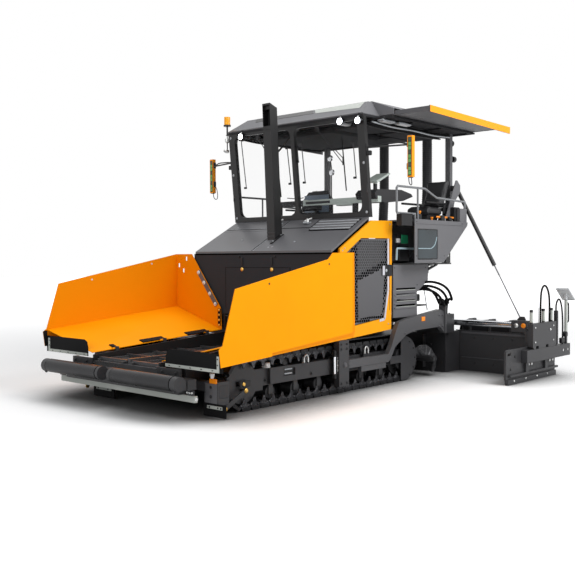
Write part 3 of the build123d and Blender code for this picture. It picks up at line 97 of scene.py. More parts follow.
# %% Shader helpers
class Field:
    """A value that changes over a surface."""

    def __init__(self, finish, socket):
        self.finish = finish
        self.socket = socket

    def math(self, operation, a, b):
        return self.finish.node("ShaderNodeMath", {"operation": operation}, {0: a, 1: b})

    def __add__(self, other):
        return self.math("ADD", self, other)

    def __radd__(self, other):
        return self.math("ADD", other, self)

    def __sub__(self, other):
        return self.math("SUBTRACT", self, other)

    def __rsub__(self, other):
        return self.math("SUBTRACT", other, self)

    def __mul__(self, other):
        return self.math("MULTIPLY", self, other)

    def __rmul__(self, other):
        return self.math("MULTIPLY", other, self)

    def __truediv__(self, other):
        return self.math("DIVIDE", self, other)

    def __gt__(self, other):
        return self.math("GREATER_THAN", self, other)

    def __lt__(self, other):
        return self.math("LESS_THAN", self, other)


class Finish:
    """A material under construction: one Principled shader and what feeds it."""

    def __init__(self, name, **sockets):
        self.material = bpy.data.materials.new(name)
        self.material.use_nodes = True
        self.tree = self.material.node_tree
        self.tree.nodes.clear()
        self.shader = self.tree.nodes.new("ShaderNodeBsdfPrincipled")
        output = self.tree.nodes.new("ShaderNodeOutputMaterial")
        self.tree.links.new(self.shader.outputs["BSDF"], output.inputs["Surface"])
        self.output = output
        self.set(**sockets)

    def plug(self, socket, value):
        if isinstance(value, Field):
            self.tree.links.new(value.socket, socket)
        elif hasattr(value, "__len__") and len(value) == 3 and len(socket.default_value) == 4:
            socket.default_value = (*value, 1)
        else:
            socket.default_value = value

    def node(self, kind, settings=None, sockets=None, out=0):
        made = self.tree.nodes.new(kind)
        for key, value in (settings or {}).items():
            if key == "stops":
                ramp = made.color_ramp.elements
                while len(ramp) < len(value):
                    ramp.new(0.5)
                for stop, (place, colour) in zip(ramp, value):
                    stop.position = place
                    stop.color = (*colour, 1) if hasattr(colour, "__len__") else (colour, colour, colour, 1)
            else:
                setattr(made, key, value)
        for key, value in (sockets or {}).items():
            self.plug(made.inputs[key], value)
        return Field(self, made.outputs[out])

    def set(self, **sockets):
        for key, value in sockets.items():
            self.plug(self.shader.inputs[key.replace("_", " ")], value)
        return self

    def place(self):
        return self.node("ShaderNodeTexCoord", out=3)

    def noise(self, scale, detail=3.0, rough=0.5, place=None):
        return self.node("ShaderNodeTexNoise", {}, {"Vector": place or self.place(), "Scale": scale,
                                                    "Detail": detail, "Roughness": rough})

    def ramp(self, field, *stops):
        return self.node("ShaderNodeValToRGB", {"stops": stops}, {0: field})

    def blend(self, factor, a, b):
        return self.node("ShaderNodeMix", {"data_type": "RGBA"}, {0: factor, 6: a, 7: b}, out=2)

    def bump(self, height, depth, strength=1.0, edge=0.0):
        """Relief from a field; edge also rounds the piece's corners, in the shading alone."""
        sockets = {"Height": height, "Distance": depth, "Strength": strength}
        if edge:
            sockets["Normal"] = self.node("ShaderNodeBevel", {"samples": 4}, {"Radius": edge})
        return self.node("ShaderNodeBump", {}, sockets)


def srgb(r, g, b):
    """A colour given as a painter reads it, 0 to 255, in the linear values that a shader takes."""
    return tuple((c / 255 / 12.92) if c <= 10 else ((c / 255 + 0.055) / 1.055) ** 2.4 for c in (r, g, b))

# %% [markdown]
# ## Paint, rubber, steel and glass
# New machinery looks plain at first sight, yet no surface on it is one flat colour. Sprayed paint has a faint
# cloud and the ripple of orange peel, and its corners are soft, not razor sharp. A Bevel node inside the bump
# rounds every edge of the exact steelwork in the shading alone, which costs no triangles.

# %% Paint
def xyz(f):
    """The three coordinates of a point on the piece, in metres."""
    place = f.place()
    return [f.node("ShaderNodeSeparateXYZ", {}, {0: place}, out=i) for i in range(3)]


def paint(name, colour, rough, metal=0.0, shine=0.35, edge=0.004, peel=0.0004, cloud=0.08, parts=()):
    """Sprayed paint. parts lists (mask maker, colour) for areas of one piece that have another colour."""
    f = Finish(name, Metallic=metal, Specular_IOR_Level=shine)
    soft = f.noise(1.7, 4.0)
    fine = f.noise(260.0, 2.0)
    base = f.blend(soft, [c * (1 - cloud) for c in colour], [min(1, c * (1 + cloud)) for c in colour])
    for mask, other in parts:
        base = f.blend(mask(f), base, other)
    f.set(Base_Color=base, Roughness=(soft - 0.5) * 0.14 + rough, Normal=f.bump(fine, peel, 0.2, edge))
    return f.material


# %% [markdown]
# ## Stations
# Lengthwise places on a long machine are easiest to read as distances behind one line near its front, here the
# axis of the push rollers. They are the foremost pieces, so the line lies one roller's radius behind the front
# of the machine's box. A mask can then say "ahead of this station" and pick a colour by it.

# %% Stations
PUSH_ROLLER_R = 0.08
ZERO = cad_box[0].y + PUSH_ROLLER_R
SIDES = (("left", 1), ("right", -1))


def ahead(station):
    """A mask that is 1 ahead of a station."""
    return lambda f: xyz(f)[1] < ZERO + station


print("station 0 lies at y =", round(ZERO, 3))

# %% [markdown]
# ## Finishes of the machine
# Two coats cover nearly everything: a deep orange on the hopper wings and door frames, and greys from charcoal
# to slate. On the wings' inner walls the orange is darker, which is painted shade, and on the door frames it is
# paler, which is painted light. The greys differ by piece: the side consoles and panels are the palest, the wall
# behind the hopper and the exhaust are nearly black.

# %% Finishes
LIGHT_STRIP = srgb(176, 180, 174)
ORANGE = srgb(255, 157, 0)
WING_INSIDE, WING_SKIN = 1.6155, 1.60    # the inner face of a wing's outer plate lies between these |x|
WING_REAR = 2.35                         # station just ahead of the wings' rear walls
TIP_END, TIP_TOP = 0.245, 0.78           # station and height where the blackened tip of a wing stops


def at_wing_tip(f):
    """The blackened inner face of a wing's front edge."""
    x, y, z = xyz(f)
    return (x < WING_INSIDE) * (x > -WING_INSIDE) * (y < ZERO + TIP_END) * (z < TIP_TOP)


def wing_wall_painted_shade(f):
    """The inner faces of a wing's outer plate and rear wall, where a darker orange is painted shade."""
    x, y, z = xyz(f)
    plate = (x < WING_INSIDE) * (x > WING_SKIN) + (x > -WING_INSIDE) * (x < -WING_SKIN)
    return plate + (y > ZERO + WING_REAR)


# the darker orange on the wings' inner walls is painted shade
orange = paint("orange_paint", ORANGE, 0.5, shine=0.08,
               parts=[(wing_wall_painted_shade, srgb(240, 142, 0)), (at_wing_tip, srgb(26, 26, 27))])
# the door frames' paler orange is painted light, a lit copy of the wings' orange
painted_light_orange = paint("door_orange_light_painted", srgb(255, 166, 22), 0.45, shine=0.12)
charcoal = paint("charcoal_paint", srgb(46, 46, 48), 0.42)
iron = paint("undercarriage_paint", srgb(56, 56, 58), 0.42)
arm_grey = paint("arm_paint", srgb(80, 80, 82), 0.42)
hood_grey = paint("hood_paint", srgb(96, 96, 99), 0.34)
black_paint = paint("black_paint", srgb(26, 26, 27), 0.4)
slate = paint("slate_paint", srgb(84, 84, 87), 0.36)
grey = paint("grey_paint", srgb(98, 98, 101), 0.45)
pale_grey = paint("pale_grey_paint", LIGHT_STRIP, 0.5)
pale_green = paint("pale_green_paint", srgb(196, 206, 200), 0.45)
white_plastic = paint("white_plastic", srgb(226, 228, 228), 0.4)
rubber = paint("black_rubber", srgb(16, 16, 17), 0.7, shine=0.12, peel=0.001)
plastic = paint("black_plastic", srgb(26, 26, 28), 0.4, shine=0.25, peel=0.0008)
cast = paint("cast_iron", srgb(42, 42, 44), 0.55, metal=0.2, peel=0.0012)
silver = paint("silver_paint", srgb(168, 172, 176), 0.35, metal=0.4)
zinc = paint("zinc_plate", srgb(196, 197, 196), 0.3, metal=0.85)
brass = paint("yellow_zinc", srgb(222, 178, 92), 0.3, metal=0.8)
chrome = paint("chrome", srgb(224, 226, 230), 0.1, metal=1.0, peel=0.0001)
dark_rod = paint("dark_steel_rod", srgb(96, 97, 100), 0.35, metal=0.5)
blue_grey = paint("blue_grey_paint", srgb(150, 172, 180), 0.35)
green_sign = paint("green_plate", srgb(40, 160, 110), 0.5)
seal_grey = paint("door_seal_rubber", srgb(198, 198, 206), 0.45)
duct_grey = paint("duct_rubber", srgb(66, 66, 68), 0.55, shine=0.2)
# near black for what hangs under the canopy: painted shade
ceiling_shade_black = paint("ceiling_shade_coat", srgb(48, 48, 50), 0.8, shine=0.05)
bulkhead_black = paint("bulkhead_paint", srgb(50, 52, 56), 0.7, shine=0.1)
# near black for dark seams, and for painted shade in slots, gaps and mesh holes
gap_and_shade_black = paint("slot_shadow", srgb(8, 8, 9), 0.9, shine=0.0)
reflector = paint("orange_reflector", srgb(248, 142, 24), 0.25)
print("paints, rubbers and plates:", len(bpy.data.materials))

# %% [markdown]
# ## Worn steel
# Tracks, rollers, augers and the conveyor's floor are bare steel with a dark skin that work rubs away. Noise
# behind a steep ramp gives patches with soft rims. The rubbed patches are brighter and smoother too, so the one
# mask feeds both the colour and the roughness.

# %% Worn steel
def steel_with_wear(name, colour, bright, rough, scale):
    """Dark steel that has been rubbed bright in patches."""
    f = Finish(name, Metallic=0.6)
    rub = f.ramp(f.noise(scale, 6.0, 0.65), (0.5, 0.0), (0.68, 1.0))
    grain = f.noise(180.0, 3.0)
    f.set(Base_Color=f.blend(rub, colour, bright), Roughness=rough - rub * 0.15,
          Normal=f.bump(grain, 0.0012, 0.4, 0.003))
    return f.material


track_steel = steel_with_wear("track_steel", srgb(34, 34, 36), srgb(60, 60, 63), 0.5, 14.0)
link_steel = steel_with_wear("link_steel", srgb(50, 50, 53), srgb(104, 104, 108), 0.36, 30.0)
roller_steel = steel_with_wear("roller_steel", srgb(40, 40, 42), srgb(43, 43, 45), 0.34, 1.2)
auger_steel = steel_with_wear("auger_steel", srgb(62, 62, 64), srgb(104, 104, 106), 0.45, 9.0)
floor_steel = steel_with_wear("floor_steel", srgb(88, 88, 90), srgb(112, 111, 109), 0.3, 2.5)

# %% [markdown]
# ## Glass and lit lamps
# A pane is thin, so it can be a nearly transparent sheet rather than a block of real glass: what lies behind it
# stays sharp, and only its reflection and a faint smear tell that it is there. A lit lamp glows by emission,
# with the fine flutes of its lens as bands.

# %% Glass and lamps
pane = Finish("window_glass", Base_Color=(0.05, 0.06, 0.06), Roughness=0.02, Specular_IOR_Level=0.5)
smear = pane.noise(3.0, 2.0)
pane.set(Alpha=smear * 0.015 + 0.02, Normal=pane.bump(smear, 0.0004, 0.2))
glass = pane.material


def lamp_glow(name, strength):
    f = Finish(name, Base_Color=(0.95, 0.95, 0.95), Roughness=0.25)
    flutes = f.node("ShaderNodeTexWave", {"wave_type": "BANDS", "bands_direction": "X"},
                    {"Vector": f.place(), "Scale": 40.0})
    f.set(Emission_Color=f.blend(flutes, (1.0, 1.0, 1.0), (0.85, 0.9, 1.0)), Emission_Strength=strength,
          Normal=f.bump(flutes, 0.001, 0.3))
    return f.material


lit_lamp = lamp_glow("lit_lamp", 9.0)

# %% [markdown]
# ## Screens and displays
# The displays show nothing: dark glass in the far one, coloured a pale blue-grey that is a painted reflection,
# and pale frosted panels in the others.

# %% Display finishes
def display(name, low, high, rough):
    """Blank display glass with a slow shade across it."""
    f = Finish(name, Roughness=rough)
    shade = f.noise(2.2, 1.0)
    f.set(Base_Color=f.blend(shade, low, high), Normal=f.bump(f.noise(300.0), 0.0002, 0.2))
    return f.material


# blank dark glass coloured pale blue-grey: a painted reflection
display_painted_reflection = display("display_painted_reflection", srgb(70, 84, 100), srgb(150, 166, 184), 0.2)
pale_display = display("pale_display", srgb(176, 178, 180), srgb(212, 214, 214), 0.3)
green_segment = display("green_segment", srgb(84, 150, 76), srgb(122, 184, 104), 0.25)
dark_segment = display("dark_segment", srgb(44, 62, 52), srgb(66, 88, 72), 0.25)


# %% [markdown]
# ## Seat vinyl
# Vinyl has relief at two scales: small round pebbles pressed into it, and wide soft creases. A smooth Voronoi
# texture gives the first and noise the second, and the creases change the gloss as well.

# %% Vinyl
def leather_look(name, colour):
    """Vinyl with the fine wrinkles of a seat cover."""
    f = Finish(name, Specular_IOR_Level=0.4)
    pebbles = f.node("ShaderNodeTexVoronoi", {"feature": "SMOOTH_F1"}, {"Vector": f.place(), "Scale": 420.0})
    creases = f.noise(14.0, 5.0, 0.6)
    f.set(Base_Color=f.blend(creases, colour, [c * 1.5 for c in colour]), Roughness=creases * 0.2 + 0.42,
          Normal=f.bump(pebbles * 0.7 + creases * 0.6, 0.0016, 0.5))
    return f.material


vinyl = leather_look("seat_vinyl", srgb(40, 40, 42))

# %% [markdown]
# ## Two finishes on one piece
# Some pieces carry two colours at once: a rubber flap with its pale clamping strip, or an extending screed with
# its chrome tube. One mesh can hold both when a mask of coordinates picks the colour, so no face is cut. The
# limits below are heights, stations and distances from the middle, just off the faces that they tell apart.

# %% Two finishes on one piece
def near_line(f, y_line, z_line, radius):
    """1 inside a radius round a line along X."""
    x, y, z = xyz(f)
    dy, dz = y - y_line, z - z_line
    return (dy * dy + dz * dz) < radius * radius


def masked(name, colour, rough, mask, other, other_rough, metal, shine=0.3):
    """Two finishes on one piece, the second where the mask is 1."""
    f = Finish(name, Specular_IOR_Level=shine)
    chosen = mask(f)
    soft = f.noise(2.0, 4.0)
    base = f.blend(soft, [c * 0.93 for c in colour], [c * 1.07 for c in colour])
    f.set(Base_Color=f.blend(chosen, base, other), Metallic=chosen * metal,
          Roughness=chosen * (other_rough - rough) + rough,
          Normal=f.bump(f.noise(240.0, 2.0), 0.0005, 0.2, 0.004))
    return f.material


FLAP_STRIP, MUD_STRIP = 0.2366, 0.4391
TUBE_LINE, TUBE_R = (ZERO + 5.21, 0.73), 0.0455
LEFT_LIP, RIGHT_LIP = 1.9985, -1.4985
CEILING_TOP, BEACON_LOW, GATE_DISPLAY_LOW, DESK_DISPLAY_LOW = 3.52, 3.672, 1.06, 2.687
SIGNAL_CAP = 1.783
flap_rubber = masked("flap_rubber", srgb(14, 14, 15), 0.75, ahead(FLAP_STRIP), LIGHT_STRIP, 0.5, 0.0, 0.12)
mud_rubber = masked("mud_rubber", srgb(14, 14, 15), 0.75, ahead(MUD_STRIP), LIGHT_STRIP, 0.5, 0.0, 0.12)
screed_paint = masked("screed_paint", srgb(58, 58, 60), 0.48,
                      lambda f: near_line(f, *TUBE_LINE, TUBE_R), srgb(224, 226, 230), 0.1, 1.0)


def above(height):
    """A mask that is 1 above a height."""
    return lambda f: xyz(f)[2] > height


def awning_mask(f):
    """The outer face of a side roof's lip."""
    x = xyz(f)[0]
    return (x > LEFT_LIP) + (x < RIGHT_LIP)


def desk_mask(f):
    """The rail that carries the desk, but for its slot, and the display's frame."""
    x, y, z = xyz(f)
    beam = (y < ZERO + 3.7205) * (y > ZERO + 3.6395) * (z < 2.5105) * (z > 2.4295) * (x > -0.28)
    slot = (x < 0.22) * (z < 2.488) * (z > 2.452)
    return beam * (1 - slot) + (z > DESK_DISPLAY_LOW)


def signal_mask(f):
    """The orange outer cap of each signal bar."""
    x = xyz(f)[0]
    return (x > SIGNAL_CAP) + (x < -SIGNAL_CAP)


def rail_mask(f):
    """The black box that is clipped on the rail."""
    x, y, z = xyz(f)
    return (y > ZERO + 3.56) * (y < ZERO + 3.86) * (z > 2.08) * (z < 2.26)


awning_paint = masked("awning_paint", srgb(84, 84, 87), 0.5, awning_mask, ORANGE, 0.42, 0.0)
# the roof's underside, below CEILING_TOP, is a dark grey that is painted shade
roof_paint = masked("roof_painted_shade_below", srgb(112, 112, 115), 0.5, lambda f: xyz(f)[2] < CEILING_TOP,
                    srgb(50, 50, 52), 0.8, 0.0, 0.08)
lamp_paint = masked("lamp_paint", srgb(30, 30, 32), 0.4, above(BEACON_LOW), srgb(255, 174, 26), 0.2, 0.0)
desk_paint = masked("desk_paint", srgb(46, 46, 48), 0.45, desk_mask, srgb(196, 206, 200), 0.45, 0.0)
gate_paint = masked("gate_paint", srgb(52, 52, 54), 0.45, above(GATE_DISPLAY_LOW), srgb(196, 198, 200), 0.4, 0.0)
signal_paint = masked("signal_paint", srgb(34, 34, 35), 0.45, signal_mask, ORANGE, 0.4, 0.0)
rail_paint = masked("rail_paint", srgb(118, 120, 123), 0.35, rail_mask, srgb(24, 24, 26), 0.5, 0.0)

# %% [markdown]
# ## A coat for every piece
# One table says which finish each piece of steelwork gets. A table is easier to check than a line for each
# piece: whatever it leaves out is printed below it.

# %% Coats
COATS = {
    "wing_left": orange, "wing_right": orange, "side_frames": painted_light_orange, "push_beam": charcoal,
    "wing_flap_left": flap_rubber, "wing_flap_right": flap_rubber, "mud_flaps": mud_rubber,
    "lower_bar": pale_grey, "push_roller_left": roller_steel, "push_roller_right": roller_steel,
    "bulkhead": bulkhead_black, "hood": hood_grey, "exhaust_stack": black_paint, "side_door_left": slate,
    "side_door_right": slate, "side_panels": grey, "side_consoles": grey, "platform": black_paint,
    "control_console": desk_paint, "windshield_frame": black_paint, "windshield_glass": glass,
    "canopy_roof": roof_paint, "awning_left": awning_paint, "awning_right": awning_paint,
    "rear_posts": grey, "lamps": lamp_paint, "signal_bars": signal_paint, "fume_ducts": duct_grey,
    "handrails": rail_paint, "tow_posts": iron, "tow_arms": arm_grey, "screed_main": charcoal,
    "extension_left": screed_paint, "extension_right": screed_paint, "end_gate_left": gate_paint,
    "end_gate_right": gate_paint, "auger_left": auger_steel, "auger_right": auger_steel,
    "auger_support": charcoal, "footboard": charcoal, "stay_tube_left": black_paint,
    "stay_tube_right": black_paint, "stay_rod_left": dark_rod, "stay_rod_right": dark_rod,
    "track_left": track_steel, "track_right": track_steel, "track_frames": iron, "track_wheels": cast,
    "chassis_beams": iron, "body_plates": black_paint, "fenders": black_paint, "engine_block": cast,
    "conveyor_floor": floor_steel, "conveyors": floor_steel, "hopper_skirts": black_paint,
    "seats": vinyl,
}
for name, coat in COATS.items():
    NODES[name].data.materials.clear()
    NODES[name].data.materials.append(coat)
print("nodes without a coat:", sorted(set(NODES) - set(COATS)))

# %% [markdown]
# ## A workbench for small steel pieces
# A machine is dressed with hundreds of bolts, straps and links. Making one object for each is slow to build and
# slow to export. Here every shape is worked out as points and faces and gathered into one mesh per group, each
# face remembering its own finish. Boxes get a small bevel, and round parts are turned from a profile.

# %% Rings and rounded paths
def ring(middle, side, other, radius, count):
    """Points of a circle round a place, from two directions across its axis."""
    return [middle + (side * cos(a) + other * sin(a)) * radius for a in [2 * pi * i / count for i in range(count)]]


def rounded(line, bend, steps):
    """A path whose corners are replaced by small curves."""
    soft = [line[0]]
    for before, corner, after in zip(line, line[1:], line[2:]):
        a, b = before - corner, after - corner
        reach = min(bend, a.length * 0.45, b.length * 0.45)
        p, q = corner + a.normalized() * reach, corner + b.normalized() * reach
        for i in range(steps + 1):
            t = i / steps
            soft.append(p * (1 - t) ** 2 + corner * 2 * t * (1 - t) + q * t * t)
    return soft + [line[-1]]

# %% [markdown]
# ## The workbench itself
# Every method below ends in the same two steps: places are worked out, and they are added with their finish.
# Round things share one more, which skins a row of rings and closes both ends.

# %% The workbench
class Work:
    """Shapes gathered into one mesh. Places are (x, station, z) in metres."""

    def __init__(self):
        self.points, self.faces, self.looks, self.coats = [], [], [], []

    def add(self, points, faces, coat):
        if coat not in self.coats:
            self.coats.append(coat)
        start, look = len(self.points), self.coats.index(coat)
        self.points += [tuple(p) for p in points]
        self.faces += [[start + i for i in face] for face in faces]
        self.looks += [look] * len(faces)

    def shape(self, bm, coat, edge=0.0):
        if edge:
            sharp = [e for e in bm.edges if e.calc_face_angle(0.0) > 0.5]
            bmesh.ops.bevel(bm, geom=sharp, offset=edge, segments=1, affect="EDGES")
        bm.verts.index_update()
        self.add([v.co for v in bm.verts], [[v.index for v in f.verts] for f in bm.faces], coat)
        bm.free()

    def box(self, x0, x1, s0, s1, z0, z1, coat, edge=0.002):
        bm = bmesh.new()
        bmesh.ops.create_cube(bm, size=1.0)
        size = Vector((x1 - x0, s1 - s0, z1 - z0))
        middle = Vector((x0 + x1, s0 + s1, z0 + z1)) / 2
        for v in bm.verts:
            v.co = Vector([v.co[i] * size[i] for i in range(3)]) + middle
        self.shape(bm, coat, min(edge, min(abs(c) for c in size) * 0.3))

    def plate(self, outline, across, low, high, coat, edge=0.0):
        """A flat plate. outline is (s, z) across x, (x, z) across s, or (x, s) across z."""
        spread = {"x": lambda a, b, c: (c, a, b), "s": lambda a, b, c: (a, c, b),
                  "z": lambda a, b, c: (a, b, c)}[across]
        bm = bmesh.new()
        bottom = [bm.verts.new(spread(a, b, low)) for a, b in outline]
        top = [bm.verts.new(spread(a, b, high)) for a, b in outline]
        count = len(outline)
        bm.faces.new(bottom)
        bm.faces.new(top[::-1])
        for i in range(count):
            bm.faces.new((bottom[(i + 1) % count], bottom[i], top[i], top[(i + 1) % count]))
        bmesh.ops.recalc_face_normals(bm, faces=bm.faces[:])
        self.shape(bm, coat, edge)

    def skin(self, points, sides, coat):
        """Faces between rings of points that follow each other, and one over each end."""
        last = len(points) // sides - 1
        faces = []
        for k in range(last):
            for i in range(sides):
                j = (i + 1) % sides
                faces.append((k * sides + i, k * sides + j, (k + 1) * sides + j, (k + 1) * sides + i))
        faces.append(list(range(sides))[::-1])
        faces.append([last * sides + i for i in range(sides)])
        self.add(points, faces, coat)

    def turned(self, start, towards, profile, coat, sides=20):
        """A round piece on an axis. profile is (distance along the axis, radius), from its start."""
        start, axis = Vector(start), Vector(towards).normalized()
        side = axis.orthogonal().normalized()
        other = axis.cross(side)
        points = []
        for along, radius in profile:
            points += ring(start + axis * along, side, other, radius, sides)
        self.skin(points, sides, coat)

    def rod(self, a, b, radius, coat, sides=16, edge=0.001):
        a, b = Vector(a), Vector(b)
        long = (b - a).length
        edge = min(edge, radius * 0.3, long * 0.3)
        self.turned(a, b - a, [(0, radius - edge), (edge, radius), (long - edge, radius),
                               (long, radius - edge)], coat, sides)

    def bolt(self, place, towards, radius, coat, washer=True):
        """Hexagon head on a washer, standing on a surface."""
        profile = [(0, radius * 0.92), (radius * 0.9, radius * 0.92), (radius * 1.1, radius * 0.75)]
        self.turned(place, towards, profile, coat, 6)
        if washer:
            self.turned(place, towards, [(0, radius * 1.5), (radius * 0.25, radius * 1.5)], coat, 14)

    def tube(self, path, radius, coat, sides=10, bend=0.0, steps=5):
        """A tube along points; bend rounds the corners between them."""
        line = [Vector(p) for p in path]
        if bend:
            line = rounded(line, bend, steps)
        points = []
        side = (line[1] - line[0]).orthogonal().normalized()
        for i, place in enumerate(line):
            run = (line[min(i + 1, len(line) - 1)] - line[max(i - 1, 0)]).normalized()
            side = (side - run * side.dot(run)).normalized()
            points += ring(place, side, run.cross(side), radius, sides)
        self.skin(points, sides, coat)

    def strip(self, a, b, up, width, height, coat, sink=0.0005):
        """A flat bar from a to b, standing on a surface whose normal is up."""
        a, b, up = Vector(a), Vector(b), Vector(up).normalized()
        side = (b - a).normalized().cross(up).normalized() * (width / 2)
        ring = [-side - up * sink, side - up * sink, side + up * height, -side + up * height]
        points = [a + r for r in ring] + [b + r for r in ring]
        self.add(points, [(0, 1, 2, 3), (7, 6, 5, 4), (0, 4, 5, 1), (1, 5, 6, 2), (2, 6, 7, 3), (3, 7, 4, 0)],
                 coat)

    def made(self, name, body, slot, flip=False):
        """The finished mesh as one object that rides on a body; flip mirrors it to the other side."""
        mesh = bpy.data.meshes.new(name)
        sign = -1 if flip else 1
        points = [(sign * x, s + ZERO, z) for x, s, z in self.points]
        mesh.from_pydata(points, [], self.faces)
        for coat in self.coats:
            mesh.materials.append(coat)
        mesh.polygons.foreach_set("material_index", self.looks)
        mesh.polygons.foreach_set("use_smooth", [True] * len(self.faces))
        bm = bmesh.new()
        bm.from_mesh(mesh)
        bmesh.ops.recalc_face_normals(bm, faces=bm.faces[:])
        bm.to_mesh(mesh)
        bm.free()
        mesh.set_sharp_from_angle(angle=radians(32))
        piece = bpy.data.objects.new(name, mesh)
        bpy.context.scene.collection.objects.link(piece)
        if body:
            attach(piece, body)
        return piece

    def both(self, name, body, slot):
        """The left piece and its mirror image; body may hold {side}."""
        for side, flip in (("left", False), ("right", True)):
            self.made(name + "_" + side, body.format(side=side), slot, flip)
        print(name, "faces a side:", len(self.faces))


# %% [markdown]
# ## Finding the surface
# A bolt has to stand on its plate, not near it. A straight line sent at a steel piece tells where it first
# meets it and which way the surface faces there, so the bolts and seams below follow the steelwork.

# %% Finding the surface
from mathutils.bvhtree import BVHTree

SKINS = {}


def touch(node, place, towards):
    """Where a line from a place first meets a steel piece, and the surface's outward normal there."""
    if node not in SKINS:
        mesh = NODES[node].data
        SKINS[node] = BVHTree.FromPolygons([v.co for v in mesh.vertices], [p.vertices for p in mesh.polygons])
    x, s, z = place
    point, normal = SKINS[node].ray_cast(Vector((x, s + ZERO, z)), Vector(towards))[:2]
    if point is None:
        raise ValueError(f"{node} isn't met from {place}")
    if normal.dot(Vector(towards)) > 0:
        normal = -normal
    return Vector((point.x, point.y - ZERO, point.z)), normal


def bolts(work, node, places, towards, radius, coat, washer=True):
    """Bolts on a steel piece, each where a line from its place meets it."""
    for place in places:
        point, normal = touch(node, place, towards)
        work.bolt(point, normal, radius, coat, washer)


def seams(work, node, lines, towards, width, height, coat):
    """Thin bars laid on a steel piece between pairs of places."""
    for start, end in lines:
        (a, up), (b, also_up) = touch(node, start, towards), touch(node, end, towards)
        work.strip(a, b, up + also_up, width, height, coat)


DOWN, UP = (0, 0, -1), (0, 0, 1)
TO_REAR, TO_FRONT = (0, 1, 0), (0, -1, 0)
TO_RIGHT, TO_LEFT = (-1, 0, 0), (1, 0, 0)

# %% [markdown]
# ## Hydraulic hoses and cables
# The screed lives on oil and current, so black hoses arch from under the platform down to it. A hose is a fixed
# length of something stiff that still sags, and that is what a smooth spline through a few points draws. Where
# a hose crosses from the tractor to the screed it is swept into a tube of mesh. The points of the tube are read
# from the spline itself.

# %% Hose helpers
HOSE, THIN_HOSE, LEAD, CABLE = 0.036, 0.028, 0.024, 0.011      # diameters


def mirrored(route, sign):
    """A route drawn for the left side, on the side whose sign is given."""
    return [(sign * x, s, z) for x, s, z in route]


def spline(name, route):
    """The smooth line through a hose: an open NURBS of order 3 that reaches both ends."""
    data = bpy.data.curves.new(name, "CURVE")
    data.dimensions = "3D"
    data.resolution_u = 8
    run = data.splines.new("NURBS")
    run.points.add(len(route) - 1)
    for point, (x, s, z) in zip(run.points, route):
        point.co = (x, s + ZERO, z, 1)
    run.order_u = 3
    run.use_endpoint_u = True
    piece = bpy.data.objects.new(name, data)
    bpy.context.scene.collection.objects.link(piece)
    return piece


def along(piece):
    """The points of a spline, in metres, and its length."""
    bpy.context.view_layer.update()
    mesh = bpy.data.meshes.new_from_object(piece)
    points = [v.co.copy() for v in mesh.vertices]
    bpy.data.meshes.remove(mesh)
    return points, sum((b - a).length for a, b in zip(points, points[1:]))


def cable(name, route, diameter, body, coat):
    """A cable that rides on one body."""
    piece = spline(name, route)
    points, length = along(piece)
    piece.data.bevel_depth = diameter / 2
    piece.data.bevel_resolution = 2
    piece.data.use_fill_caps = True
    piece.data.materials.append(coat)
    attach(piece, body)
    return length


def crossing_hose(name, route, diameter, coat):
    """A hose from the tractor to the screed, as a mesh tube."""
    guide = spline(name + "_guide", route)
    points, length = along(guide)
    bpy.data.objects.remove(guide)
    work = Work()
    work.tube([(p.x, p.y - ZERO, p.z) for p in points], diameter / 2, coat, sides=8)
    piece = work.made(name, None, "black_rubber")
    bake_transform(piece)
    return length


# %% [markdown]
# ## Hoses to the screed
# Four hoses leave the wall under the platform side by side, bow outwards and drop onto the screed. Both ends of
# each are looked for on the steelwork, so a hose never stops short of it.

# %% Hoses to the screed
HOSE_END, HOSE_STEP = 4.95, 0.03         # station of the first hose's foot, and of each next one
SCREED_HOSES = [  # x and height at the wall, top of the arch, reach outwards, x at the screed
    (1.14, 1.24, 1.36, 1.50, 1.31),
    (1.10, 1.20, 1.30, 1.44, 1.26),
    (1.05, 1.16, 1.25, 1.37, 1.20),
    (1.01, 1.22, 1.28, 1.29, 1.15),
]


def screed_hoses(side, sign):
    """Four hoses on one side, and their lengths."""
    lengths = []
    for i, (x0, z0, top, out, end) in enumerate(SCREED_HOSES):
        rear = HOSE_END + HOSE_STEP * i
        wall = touch("body_plates", (sign * x0, 5.2, z0), TO_FRONT)[0].y
        foot = touch("screed_main", (sign * end, rear, 1.4), DOWN)[0].z
        route = [(x0, wall, z0), (x0, wall + 0.1, z0 + 0.01), (x0 + 0.12, 4.54, top), (out, 4.66, top - 0.08),
                 (out + 0.01, 4.80, top - 0.30), (end + 0.06, 4.93, foot + 0.24), (end, rear, foot + 0.13),
                 (end, rear, foot)]
        lengths.append(crossing_hose(f"screed_hose_{i + 1}_{side}", mirrored(route, sign), HOSE, rubber))
    return lengths


# %% [markdown]
# ## Hoses on the extensions
# Three thinner hoses lie over each extension in shallow waves, held by their tray. A real bundle is never
# straight, so each hose sways a little and lies slightly higher than its neighbour.

# %% Hoses on the extensions
BUNDLE_STATION, BUNDLE_PITCH, BUNDLE_RISE = 5.495, 0.05, 0.008
BUNDLE = [  # x, sideways sway, height over the deck, share of the hose's own rise
    (1.22, 0, 0, 0), (1.22, 0, 0.11, 0), (1.30, 0.01, 0.19, 1), (1.48, -0.01, 0.165, 0), (1.66, 0.01, 0.175, 1),
    (1.84, -0.01, 0.16, 0), (2.02, 0.01, 0.175, 1), (2.16, 0, 0.165, 0), (2.29, 0, 0.10, 0), (2.30, 0, 0, 0),
]


